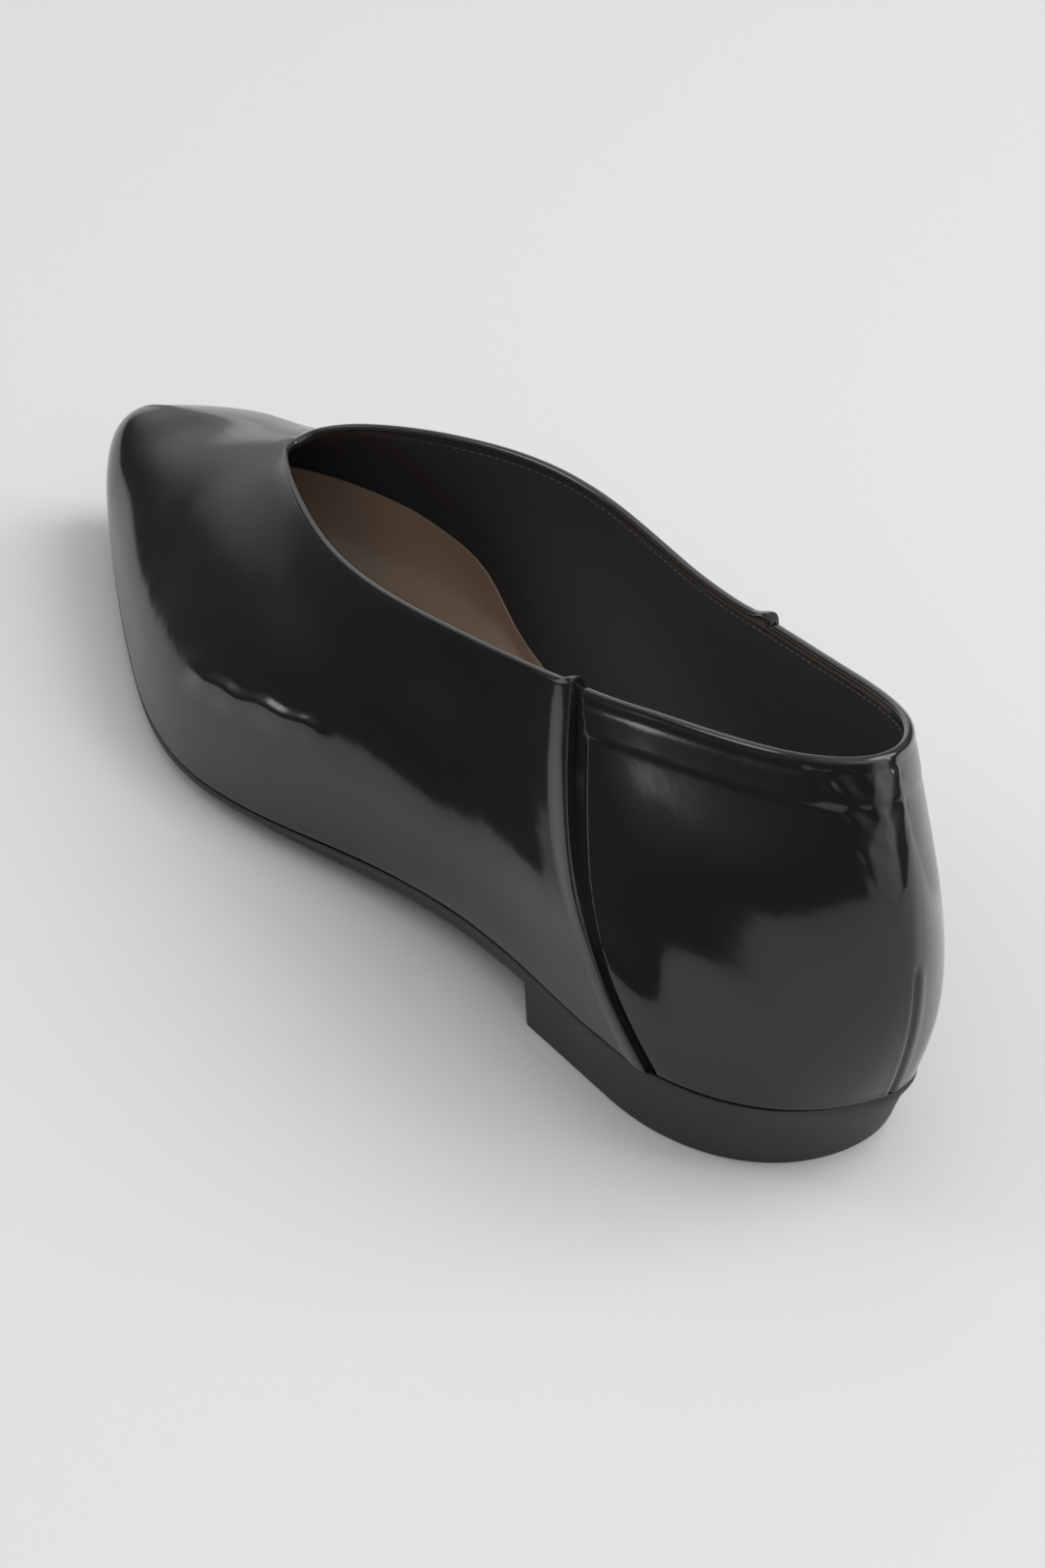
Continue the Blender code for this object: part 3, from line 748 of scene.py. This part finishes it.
def piece_from_grid(name, rows, holes=(), slopes=None):
    """A closed mesh from a grid of rows of points, each row once round.

    Holes are pairs of a range of columns and a range of rows whose faces are left out. Slopes hold a vector
    for each point, which its normal leans away from.
    """
    points = np.stack([np.concatenate([row, row[:1]]) for row in rows], axis=1)
    columns, count = points.shape[:2]
    bm = bmesh.new()
    layer = None if slopes is None else bm.verts.layers.float_vector.new(LEANING)
    bmesh.ops.create_grid(bm, x_segments=columns - 1, y_segments=count - 1, size=1)
    place = {}
    for vertex in bm.verts:
        i = round((vertex.co.x + 1) / 2 * (columns - 1))
        j = round((vertex.co.y + 1) / 2 * (count - 1))
        place[vertex] = (i, j)
        vertex.co = points[i, j]
        if layer is not None:
            vertex[layer] = slopes[j][i % (columns - 1)]
    if holes:
        gone = []
        for face in bm.faces:
            i = min(place[v][0] for v in face.verts)
            j = min(place[v][1] for v in face.verts)
            if any(i in hole_columns and j in hole_rows for hole_columns, hole_rows in holes):
                gone.append(face)
        bmesh.ops.delete(bm, geom=gone, context="FACES")
    return finished(name, bm)


def finished(name, bm):
    """An object from a mesh in the shoe's own millimetres, in metres from the part's origin."""
    bmesh.ops.translate(bm, verts=bm.verts, vec=(-ORIGIN_X, -ORIGIN_Y, 0))
    bmesh.ops.scale(bm, verts=bm.verts, vec=(MM, MM, MM))
    bmesh.ops.remove_doubles(bm, verts=bm.verts, dist=SAME_POINT)
    loose = [vertex for vertex in bm.verts if not vertex.link_faces]
    bmesh.ops.delete(bm, geom=loose, context="VERTS")
    bmesh.ops.recalc_face_normals(bm, faces=bm.faces)
    mesh = bpy.data.meshes.new(name)
    bm.to_mesh(mesh)
    bm.free()
    mesh.shade_smooth()
    mesh.set_sharp_from_angle(angle=math.radians(SHARP_ANGLE))
    if LEANING in mesh.attributes:
        lean_normals(mesh)
    piece = bpy.data.objects.new(name, mesh)
    bpy.context.scene.collection.objects.link(piece)
    return piece


def lean_normals(mesh):
    """Turns the mesh's normals away from the slopes that its points hold."""
    slopes = np.empty((len(mesh.vertices), 3))
    mesh.attributes[LEANING].data.foreach_get("vector", slopes.ravel())
    vertex = np.empty(len(mesh.loops), dtype=int)
    mesh.loops.foreach_get("vertex_index", vertex)
    normals = np.empty((len(mesh.loops), 3))
    mesh.corner_normals.foreach_get("vector", normals.ravel())
    slope = slopes[vertex]
    slope -= normals * (slope * normals).sum(1)[:, None]
    mesh.normals_split_custom_set(unit(normals - slope).tolist())
    mesh.attributes.remove(mesh.attributes[LEANING])


def dress(piece, material, slot, *nodes):
    """Gives a piece its material and its place in the frame."""
    piece.data.materials.append(material)
    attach(piece, BODY)
    if nodes:
        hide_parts(*nodes)


def outer_drops(length):
    """Rows of the outer skin below the topline: close together at the top, then even to the sole."""
    top = np.linspace(0, TOP_ZONE, TOP_ZONE_ROWS + 1)
    rest = np.linspace(0, 1, WALL_ROWS + 1)[1:]
    return np.concatenate([np.tile(top, (len(length), 1)), TOP_ZONE + (length - TOP_ZONE) * rest], axis=1)


def curl_rows(wall, feather):
    """Rows where the foot of the upper curls in under the feather line, highest first."""
    rows = []
    for k in range(1, CURL_ROWS + 1):
        angle = math.pi / 2 * k / CURL_ROWS
        row = feather - wall.out * CURL_IN * (1 - math.cos(angle))
        row[:, 2] -= CURL_DOWN * math.sin(angle)
        rows.append(row)
    return rows


def patent_skin(wall, sizes):
    """The outer skin with its relief, as rows from the topline down."""
    vamp = wall.collar > SEAM_TOP + NEARBY
    height = np.where(vamp[:, None], vamp_relief(wall, sizes), quarter_relief(wall, sizes))
    height = height + waviness(wall.points)
    skin = wall.points + wall.normals * height[:, :, None]
    seam = np.abs(wall.collar - SEAM_TOP) < NEARBY
    ahead = np.roll(wall.points, -1, 0) - np.roll(wall.points, 1, 0)
    skin[seam] += unit(ahead[seam]) * SEAM_TUCK * -wall.side[seam][:, None, None]
    blend_toe(wall, skin)
    round_ridge(wall, skin)
    rise = np.where(vamp, CORNER_RISE * bump(wall.from_seam()[:, 0], CORNER_REACH), 0)
    corner = rise[:, None] * wall.up_wall
    skin += corner[:, None] * (1 - smooth_step(0, CORNER_DROP, wall.drop))[:, :, None]
    return skin, height, corner


def blend_toe(wall, skin):
    """Evens out the skin across the throat, where the ribs of the collar give way to those of the toe."""
    reach = TOE_BLEND // wall.thin
    for throat in (wall.throat, 2 * wall.tip - wall.throat):
        zone = np.arange(throat - reach, throat + reach + 1)
        near = 1 - smooth_step(*TOE_BLEND_FADE, np.abs(zone - throat) / reach)
        below = smooth_step(*TOE_BLEND_DROP, wall.drop[zone])
        weight = SMOOTHING_WEIGHT * near[:, None, None] * below[:, :, None]
        for _ in range(TOE_SMOOTHING // wall.thin**2):
            even = (skin[zone - 1] + skin[zone + 1]) / 2
            skin[zone] += weight * (even - skin[zone])


def round_ridge(wall, skin):
    """Rounds the ridge of the toe, where the ribs of the two sides meet."""
    left = np.arange(wall.throat + 1, wall.tip)
    right = 2 * wall.tip - left
    middle = (skin[left, :1] + skin[right, :1]) / 2
    strip = np.concatenate([skin[left, RIDGE_ROWS:0:-1], middle, skin[right, 1 : RIDGE_ROWS + 1]], axis=1)
    toe = wall.toe[left]
    share = smooth_step(*RIDGE_STARTS, toe) * (1 - smooth_step(*RIDGE_ENDS, toe))
    weight = SMOOTHING_WEIGHT * share[:, None, None]
    for _ in range(RIDGE_SMOOTHING):
        even = (strip[:, :-2] + strip[:, 2:]) / 2
        strip[:, 1:-1] += weight * (even - strip[:, 1:-1])
    skin[left, RIDGE_ROWS:0:-1] = strip[:, :RIDGE_ROWS]
    skin[left, 0] = strip[:, RIDGE_ROWS]
    skin[right, 0] = strip[:, RIDGE_ROWS]
    skin[right, 1 : RIDGE_ROWS + 1] = strip[:, RIDGE_ROWS + 1 :]


def build_upper(sizes):
    """The patent leather: its hidden back, folded edge, rolled rim and skin, and the curl under the foot."""
    wall = Wall(outer_drops)
    skin, height, corner = patent_skin(wall, sizes)
    fold = sizes.fold_width / MM
    lower = Wall(lambda length: fold + (length - fold) * np.linspace(HIDDEN_START, 1, HIDDEN_ROWS))
    hidden = list(lower.layer(PATENT_BACK).transpose(1, 0, 2))[::-1]
    ridge = wall.ridge[:, None]
    inner_ridge = wall.points[:, 0] - wall.normals[:, 0] * PATENT_BACK
    hidden.append(wall.meet_on_ridge(np.where(ridge, inner_ridge, wall.at_edge(fold, PATENT_BACK))))

    edge = [wall.at_edge(fold, FOLD_DEPTH - FOLD_BEVEL)]
    for drop in np.linspace(fold - FOLD_BEVEL, 0, FOLD_ROWS):
        edge.append(wall.at_edge(drop, FOLD_DEPTH) + corner * (1 - drop / fold))
    outer_height = height[:, 0]
    middle = (outer_height - FOLD_DEPTH) / 2
    radius = (outer_height + FOLD_DEPTH) / 2
    rim = []
    for angle in np.linspace(math.pi, 0, RIM_ROWS + 2)[1:-1]:
        rim.append(wall.at_edge(-radius * math.sin(angle), -(middle + radius * math.cos(angle))) + corner)
    outer = [skin[:, k] for k in range(skin.shape[1])]
    wall.meet_on_ridge(outer[0])
    curl = curl_rows(wall, outer[-1])
    rows = hidden + edge + rim + outer + curl
    rows.append(hidden[0])
    slope = wall.gloss_slope()
    level = np.zeros_like(slope[:, 0])
    slopes = [level] * len(hidden + edge + rim) + list(slope.transpose(1, 0, 2)) + [level] * (len(curl) + 1)
    first = len(hidden) - 1
    toe_columns = range(wall.throat, 2 * wall.tip - wall.throat)
    hole = (toe_columns, range(first, first + len(edge) + len(rim) + 1))
    return piece_from_grid("upper_patent", rows, [hole], slopes)


def build_lining(sizes):
    """The lining: a thin closed layer from below the fold to the sole."""
    fold = sizes.fold_width / MM
    shares = np.linspace(0, 1, LINING_ROWS + 1)[1:]

    def drops(length):
        return np.concatenate([np.zeros_like(length), fold + (length - fold) * shares], axis=1)

    wall = Wall(drops, INSIDE_THIN)
    ridge = wall.ridge[:, None]

    def layer(depth, drop):
        top = np.where(ridge, wall.points[:, 0] - wall.normals[:, 0] * depth, wall.at_edge(drop, depth))
        return [wall.meet_on_ridge(top)] + list(wall.layer(depth).transpose(1, 0, 2))[1:]

    inner = layer(LINING_DEPTH, fold + LINING_TUCK)
    outer = layer(LINING_BACK, fold + LINING_TUCK)
    rows = inner + outer[::-2] + [inner[0]]
    return piece_from_grid("upper_lining", rows)


def outsole_top(along):
    """Height of the outsole's top at these distances from the back."""
    return FOOT_HEIGHT(along) - CURL_DOWN - GAP


def outsole_bottom(along):
    """Height of the outsole's underside, which rests on the floor under the ball."""
    return np.maximum(0.0, outsole_top(along) - OUTSOLE_THICKNESS)


def build_sock():
    """The insole's leather sock: a little hollow across, and cupped, so that its edge runs up the wall."""
    foot = foot_points(Wall(lambda length: length * np.array([0.5, 1.0]), INSIDE_THIN).foot_place())
    edge = SOCK_EDGE(foot[:, 1])[:, None]
    up_wall = np.linspace(1, 0, SOCK_WALL_ROWS)
    above = SOCK_LEVEL + (edge - SOCK_LEVEL) * up_wall
    wall = Wall(lambda length: length - above, INSIDE_THIN)
    face = wall.layer(SOCK_FACE_DEPTH)
    back = wall.layer(LINING_DEPTH + SOCK_CLEARANCE)
    share = np.linspace(0, 1, SOCK_COLUMNS + 1)[1:-1, None]
    stations = []
    for i in range(wall.tip + 1):
        left, right = face[i, -1], face[-i, -1]
        middle = left + (right - left) * share
        middle[:, 2] -= INSOLE_DISH * (1 - (2 * share[:, 0] - 1) ** 2)
        top = np.vstack([face[i], middle, face[-i, ::-1]])
        for _ in range(SOCK_SMOOTHING):
            top[1:-1] = (top[:-2] + 2 * top[1:-1] + top[2:]) / 4
        under = middle[::-1] - UP * (INSOLE_THICKNESS - GAP)
        stations.append(np.vstack([top, back[-i], under, back[i, ::-1]]))
    return piece_from_grid("insole_sock", stations)


def heel_floor(share, side):
    """The heel's edge at the floor, at these shares of the way from its back to its breast."""
    angle = np.clip(share / HEEL_ROUND_SHARE, 0, 1) * math.pi / 2
    power = 2 / HEEL_CORNER
    x = side * HEEL_HALF_WIDTH * np.sin(angle) ** power
    y = HEEL_BACK + HEEL_ROUND * (1 - np.cos(angle) ** power)
    straight = np.clip((share - HEEL_ROUND_SHARE) / (1 - HEEL_ROUND_SHARE), 0, 1)
    y = y + straight * (HEEL_BREAST - HEEL_BACK - HEEL_ROUND)
    return np.column_stack([x, y, np.zeros(len(share))])


def sole_edge(share, side, inset):
    """Points in plan of one side's edge, inside the feather line."""
    place = wrap(share, side)
    plan = FOOT_LINE(place)
    return plan - across(place) * inset(plan[:, 1])[:, None]


def sole_sides(side):
    """Top and bottom edge of the sole on one side, back to toe, with two stations at the heel's breast."""
    dense = np.linspace(0, 1, EDGE_STEPS)
    along = FOOT_LINE(wrap(dense, side))[:, 1]
    rear = EDGE_STEPS // 2
    breast = np.interp(HEEL_BREAST_TOP, along[:rear], dense[:rear])
    heel = np.linspace(0, 1, HEEL_STATIONS + 1)
    share = np.concatenate([breast * heel, np.linspace(breast, 1, SOLE_STATIONS + 1)])
    top = sole_edge(share, side, lambda y: np.full(len(y), OUTSOLE_TOP_INSET))
    top = np.column_stack([top, outsole_top(top[:, 1])])
    places = [row.along * LENGTH / 100 for row in OUTSOLE_EDGES]
    insets = [row.bottom_inset for row in OUTSOLE_EDGES]
    bottom = sole_edge(share, side, lambda y: np.interp(y, places, insets))
    bottom = np.column_stack([bottom, outsole_bottom(bottom[:, 1])])
    bottom[: HEEL_STATIONS + 1] = heel_floor(heel, side)
    return top, bottom


def build_sole():
    """Outsole and heel as one moulded unit: side walls with softened edges, and a hollow heel breast."""
    left_top, left_bottom = sole_sides(LATERAL)
    right_top, right_bottom = sole_sides(MEDIAL)
    share = np.linspace(-1, 1, SOLE_COLUMNS + 1)[:, None]
    stations = []
    for i in range(len(left_top)):
        middle_top = (left_top[i] + right_top[i]) / 2
        middle_bottom = (left_bottom[i] + right_bottom[i]) / 2
        top = middle_top + (right_top[i] - left_top[i]) / 2 * share
        bottom = middle_bottom + (right_bottom[i] - left_bottom[i]) / 2 * share
        if i in (HEEL_STATIONS, HEEL_STATIONS + 1):
            bottom[:, 1] -= HEEL_BREAST_HOLLOW * (1 - share[:, 0] ** 2)
        sides = []
        for start, end in ((right_top[i], right_bottom[i]), (left_top[i], left_bottom[i])):
            inward = middle_bottom - end
            size = np.linalg.norm(inward)
            inward = inward / size if size > SOLE_EDGE else inward * 0
            wall = [start + (end - start) * row.down + inward * row.inset for row in SOLE_WALL]
            sides.append(np.array(wall) + np.outer([row.rise for row in SOLE_WALL], UP))
        stations.append(np.vstack([top[1:-1], sides[0], bottom[-2:0:-1], sides[1][::-1]]))
    return piece_from_grid("sole_unit", stations)


def stitch_run(bm, line, normals, sizes):
    """Stitches along a line, each a small flattened bead that lies in the surface."""
    run = np.concatenate([[0], np.cumsum(np.linalg.norm(np.diff(line, axis=0), axis=1))])
    length = sizes.stitch_length / MM
    width = sizes.stitch_width / MM

    def at(place, vectors):
        return np.array([np.interp(place, run, vectors[:, k]) for k in range(3)])

    for start in np.arange(length, run[-1] - length, length * STITCH_PITCH):
        ends = at(start, line), at(start + length, line)
        normal = at(start, normals)
        along = unit(ends[1] - ends[0])
        across_stitch = unit(np.cross(normal, along))
        raised = np.cross(along, across_stitch)
        columns = (across_stitch * width / 2, along * length / 2, raised * width / 2)
        turn = Matrix([list(row) for row in np.column_stack(columns)]).to_4x4()
        centre = Matrix.Translation((ends[0] + ends[1]) / 2)
        bmesh.ops.create_uvsphere(
            bm, u_segments=STITCH_SEGMENTS, v_segments=STITCH_RINGS, radius=1, matrix=centre @ turn
        )


def build_stitching(sizes):
    """Stitches in the lining, round the topline just below the folded edge."""
    wall = Wall(outer_drops, INSIDE_THIN)
    bm = bmesh.new()
    loop = list(range(wall.throat + 1)) + list(range(2 * wall.tip - wall.throat, len(wall.collar))) + [0]
    line = wall.at_edge(sizes.fold_width / MM + STITCH_INSET, LINING_DEPTH)
    stitch_run(bm, line[loop], -wall.normals[loop, 0], sizes)
    return finished("upper_stitching", bm)


SMUDGES = (0.7, 1.6)  # roughness of the patent coat's clearest and dullest places, as shares of its own
PATENT_IOR = 1.55
SOCK_SHADES = ((0.3, 0.9), (0.7, 1.06))  # places on the ramp, and shares of the sock's colour


class FinishNodes:
    """A new material, and the ways in which the shoe's finishes use textures."""

    def __init__(self, name):
        self.material = bpy.data.materials.new(name)
        self.material.use_nodes = True
        self.tree = self.material.node_tree
        self.shader = self.tree.nodes["Principled BSDF"]

    def surface(self, **inputs):
        """Sets values on the shader's own sockets."""
        set_inputs(self.shader, inputs)

    def add(self, kind, **inputs):
        """A new node with these values on its sockets."""
        node = self.tree.nodes.new(kind)
        set_inputs(node, inputs)
        return node

    def texture(self, kind, output, **inputs):
        """What a texture gives on the piece's own coordinates."""
        node = self.add(kind, **inputs)
        place = self.add("ShaderNodeTexCoord")
        self.tree.links.new(place.outputs["Object"], node.inputs["Vector"])
        return node.outputs[output]

    def noise(self, scale, detail):
        """What a noise texture gives on the piece's own coordinates."""
        return self.texture("ShaderNodeTexNoise", "Fac", Scale=scale, Detail=detail)

    def vary_roughness(self, texture, low, high):
        """Lets a texture take the roughness from low to high."""
        rough = self.add("ShaderNodeMapRange", To_Min=low, To_Max=high)
        self.tree.links.new(texture, rough.inputs["Value"])
        self.tree.links.new(rough.outputs["Result"], self.shader.inputs["Roughness"])

    def grain(self, texture, strength, distance):
        """Gives the surface a fine grain from a texture."""
        relief = self.add("ShaderNodeBump", Strength=strength, Distance=distance)
        self.tree.links.new(texture, relief.inputs["Height"])
        self.tree.links.new(relief.outputs["Normal"], self.shader.inputs["Normal"])


def set_inputs(node, inputs):
    """Sets values on a node's sockets, whose names have _ for a space."""
    for key, value in inputs.items():
        node.inputs[key.replace("_", " ")].default_value = value


def patent_finish(finish):
    """Patent leather: a clear, slightly smudged gloss over a fine grain."""
    nodes = FinishNodes("patent_leather")
    nodes.surface(Base_Color=(*finish.patent, 1), IOR=PATENT_IOR)
    clear, dull = (finish.patent_roughness * share for share in SMUDGES)
    nodes.vary_roughness(nodes.noise(scale=90.0, detail=4.0), clear, dull)
    nodes.grain(nodes.noise(scale=420.0, detail=3.0), strength=0.12, distance=0.0001)
    return nodes.material


def lining_finish(finish):
    """A matt cloth lining."""
    nodes = FinishNodes("lining_cloth")
    nodes.surface(Base_Color=(*finish.lining, 1), Roughness=0.75)
    nodes.grain(nodes.noise(scale=1600.0, detail=2.0), strength=0.35, distance=0.0002)
    return nodes.material


def sock_finish(finish):
    """Brown leather, a little cloudy, with pores."""
    nodes = FinishNodes("sock_leather")
    nodes.surface(Roughness=0.55)
    ramp = nodes.add("ShaderNodeValToRGB")
    for stop, (place, shade) in zip(ramp.color_ramp.elements, SOCK_SHADES):
        stop.position = place
        stop.color = (*[c * shade for c in finish.sock], 1)
    nodes.tree.links.new(nodes.noise(scale=45.0, detail=5.0), ramp.inputs["Fac"])
    nodes.tree.links.new(ramp.outputs["Color"], nodes.shader.inputs["Base Color"])
    pores = nodes.texture("ShaderNodeTexVoronoi", "Distance", Scale=900.0)
    nodes.grain(pores, strength=0.25, distance=0.0001)
    return nodes.material


def sole_finish(finish):
    """Matt moulded rubber."""
    nodes = FinishNodes("sole_rubber")
    nodes.surface(Base_Color=(*finish.sole, 1))
    nodes.vary_roughness(nodes.noise(scale=60.0, detail=6.0), low=0.5, high=0.7)
    nodes.grain(nodes.noise(scale=1300.0, detail=3.0), strength=0.3, distance=0.0002)
    return nodes.material


def thread_finish(finish):
    """Twisted thread."""
    nodes = FinishNodes("thread")
    nodes.surface(Base_Color=(*finish.thread, 1), Roughness=0.45)
    twist = nodes.texture("ShaderNodeTexWave", "Fac", Scale=900.0)
    nodes.grain(twist, strength=0.4, distance=0.0001)
    return nodes.material


class SHOE_OT_upper(bpy.types.Operator):
    """Model the patent upper, with its folded topline, lapped side seams and back strip"""

    bl_idname = "shoe.upper"
    bl_label = "Patent Upper"

    def execute(self, context):
        piece = build_upper(context.scene.shoe_sizes)
        dress(piece, patent_finish(context.scene.shoe_finish), "upper", "upper")
        return {"FINISHED"}


class SHOE_OT_lining(bpy.types.Operator):
    """Model the lining inside the upper"""

    bl_idname = "shoe.lining"
    bl_label = "Lining"

    def execute(self, context):
        piece = build_lining(context.scene.shoe_sizes)
        dress(piece, lining_finish(context.scene.shoe_finish), "upper", "upper")
        return {"FINISHED"}


class SHOE_OT_sock(bpy.types.Operator):
    """Model the insole with its leather sock"""

    bl_idname = "shoe.sock"
    bl_label = "Sock"

    def execute(self, context):
        dress(build_sock(), sock_finish(context.scene.shoe_finish), "insole", "insole")
        return {"FINISHED"}


class SHOE_OT_sole(bpy.types.Operator):
    """Model the outsole and heel as one moulded unit"""

    bl_idname = "shoe.sole"
    bl_label = "Sole"

    def execute(self, context):
        dress(build_sole(), sole_finish(context.scene.shoe_finish), "outsole", "outsole", "heel")
        return {"FINISHED"}


class SHOE_OT_stitching(bpy.types.Operator):
    """Model the stitches inside the topline"""

    bl_idname = "shoe.stitching"
    bl_label = "Stitching"

    def execute(self, context):
        piece = build_stitching(context.scene.shoe_sizes)
        dress(piece, thread_finish(context.scene.shoe_finish), "upper")
        return {"FINISHED"}


FLOOR_HALF_SIZE = 6.0
LIGHT_PLACE = (1.05, -0.75, 1.45)
LIGHT_AIM = (0.0, 0.0, 0.0)
LIGHT_SIZE = 1.5
LIGHT_POWER = 25.0
# Soft lights of the room, each a patch of the sky about a direction that fades out between two angles
SkyPatch = namedtuple("SkyPatch", "name towards full_angle fade_angle strength colour")
SKY = (
    SkyPatch("wall", (0.0, 0.0, 1.0), 62.0, 84.0, 0.32, (1.0, 1.0, 1.0)),
    SkyPatch("ceiling", (0.0, -0.2, 1.0), 15.0, 60.0, 0.6, (1.0, 1.0, 1.0)),
    SkyPatch("front", (0.42, 0.90, -0.1), 10.0, 26.0, 0.8, (1.0, 1.0, 1.0)),
    SkyPatch("above front", (0.2, 0.86, 0.47), 8.0, 28.0, 0.42, (1.0, 1.0, 1.0)),
    SkyPatch("fill", (0.0, -0.85, 0.55), 12.0, 40.0, 0.4, (0.94, 0.97, 1.0)),
    SkyPatch("window", (-0.36, -0.92, 0.15), 28.0, 50.0, 0.75, (0.88, 0.95, 1.0)),
    SkyPatch("lamp", (-0.51, 0.69, 0.5), 7.0, 14.0, 3.2, (1.0, 1.0, 1.0)),
)
SKY_BASE = 0.08  # brightness of the room between the patches
CAMERA_PLACE = (-0.3337, -0.5750, 0.386)
CAMERA_AIM = (-0.011, -0.0415, 0.03)


def add_floor(stage):
    """A plain pale floor."""
    bm = bmesh.new()
    bmesh.ops.create_grid(bm, x_segments=2, y_segments=2, size=FLOOR_HALF_SIZE)
    mesh = bpy.data.meshes.new("floor")
    bm.to_mesh(mesh)
    bm.free()
    floor = bpy.data.objects.new("floor", mesh)
    bpy.context.scene.collection.objects.link(floor)
    nodes = FinishNodes("floor")
    nodes.surface(Base_Color=(*stage.floor, 1), Roughness=0.7)
    mesh.materials.append(nodes.material)


def look_from(place, aim):
    """A matrix at place that looks at aim, level with the horizon."""
    turn = (Vector(aim) - Vector(place)).to_track_quat("-Z", "Y")
    return Matrix.Translation(place) @ turn.to_matrix().to_4x4()


def add_light(stage):
    """One large soft light, from behind the shoe's medial side."""
    data = bpy.data.lights.new("key", "AREA")
    data.size = LIGHT_SIZE
    data.energy = LIGHT_POWER * stage.light
    light = bpy.data.objects.new("key", data)
    light.matrix_world = look_from(LIGHT_PLACE, LIGHT_AIM)
    bpy.context.scene.collection.objects.link(light)


def add_world(stage):
    """A dim room with soft bright patches, so that the gloss has something to reflect."""
    world = bpy.data.worlds.new("studio")
    world.use_nodes = True
    tree = world.node_tree
    direction = tree.nodes.new("ShaderNodeTexCoord").outputs["Generated"]
    total = None
    for patch in SKY:
        facing = tree.nodes.new("ShaderNodeVectorMath")
        facing.operation = "DOT_PRODUCT"
        facing.inputs[1].default_value = Vector(patch.towards).normalized()
        tree.links.new(direction, facing.inputs[0])
        fade = tree.nodes.new("ShaderNodeMapRange")
        fade.interpolation_type = "SMOOTHSTEP"
        fade.inputs["From Min"].default_value = math.cos(math.radians(patch.fade_angle))
        fade.inputs["From Max"].default_value = math.cos(math.radians(patch.full_angle))
        fade.inputs["To Max"].default_value = patch.strength * stage.light
        tree.links.new(facing.outputs["Value"], fade.inputs["Value"])
        tint = tree.nodes.new("ShaderNodeVectorMath")
        tint.operation = "MULTIPLY_ADD"
        tint.inputs[0].default_value = patch.colour
        tint.inputs[2].default_value = (SKY_BASE,) * 3
        tree.links.new(fade.outputs["Result"], tint.inputs[1])
        if total is not None:
            tree.links.new(total, tint.inputs[2])
        total = tint.outputs["Vector"]
    tree.links.new(total, tree.nodes["Background"].inputs["Color"])
    bpy.context.scene.world = world


def add_camera(stage):
    """The camera at the photograph's angle."""
    data = bpy.data.cameras.new("camera")
    data.lens = stage.lens
    camera = bpy.data.objects.new("camera", data)
    camera.matrix_world = look_from(CAMERA_PLACE, CAMERA_AIM)
    bpy.context.scene.collection.objects.link(camera)
    bpy.context.scene.camera = camera


class SHOE_OT_stage(bpy.types.Operator):
    """Set the floor, the soft studio light and the camera"""

    bl_idname = "shoe.stage"
    bl_label = "Stage"

    def execute(self, context):
        stage = context.scene.shoe_stage
        add_floor(stage)
        add_light(stage)
        add_world(stage)
        add_camera(stage)
        context.scene.view_settings.view_transform = "Standard"
        return {"FINISHED"}


class VIEW3D_PT_shoe(bpy.types.Panel):
    """Lists the shoe's pieces and sizes"""

    bl_label = "Pointed Flat Shoe"
    bl_space_type = "VIEW_3D"
    bl_region_type = "UI"
    bl_category = "Shoe"

    def draw(self, context):
        for operator in OPERATORS:
            self.layout.operator(operator.bl_idname)
        for group in (context.scene.shoe_sizes, context.scene.shoe_finish, context.scene.shoe_stage):
            for name in group.__annotations__:
                self.layout.prop(group, name)


OPERATORS = (SHOE_OT_upper, SHOE_OT_lining, SHOE_OT_sock, SHOE_OT_sole, SHOE_OT_stitching, SHOE_OT_stage)
CLASSES = (ShoeSizes, ShoeFinish, ShoeStage, *OPERATORS, VIEW3D_PT_shoe)


def register():
    """Makes the classes and the scene's settings known to Blender."""
    for cls in CLASSES:
        bpy.utils.register_class(cls)
    bpy.types.Scene.shoe_sizes = PointerProperty(type=ShoeSizes)
    bpy.types.Scene.shoe_finish = PointerProperty(type=ShoeFinish)
    bpy.types.Scene.shoe_stage = PointerProperty(type=ShoeStage)


def unregister():
    """Takes away what register added."""
    del bpy.types.Scene.shoe_stage
    del bpy.types.Scene.shoe_finish
    del bpy.types.Scene.shoe_sizes
    for cls in reversed(CLASSES):
        bpy.utils.unregister_class(cls)


def main():
    """Builds the pieces and the stage."""
    register()
    bpy.ops.shoe.upper()
    bpy.ops.shoe.lining()
    bpy.ops.shoe.sock()
    bpy.ops.shoe.sole()
    bpy.ops.shoe.stitching()
    bpy.ops.shoe.stage()


if __name__ == "__main__":
    main()
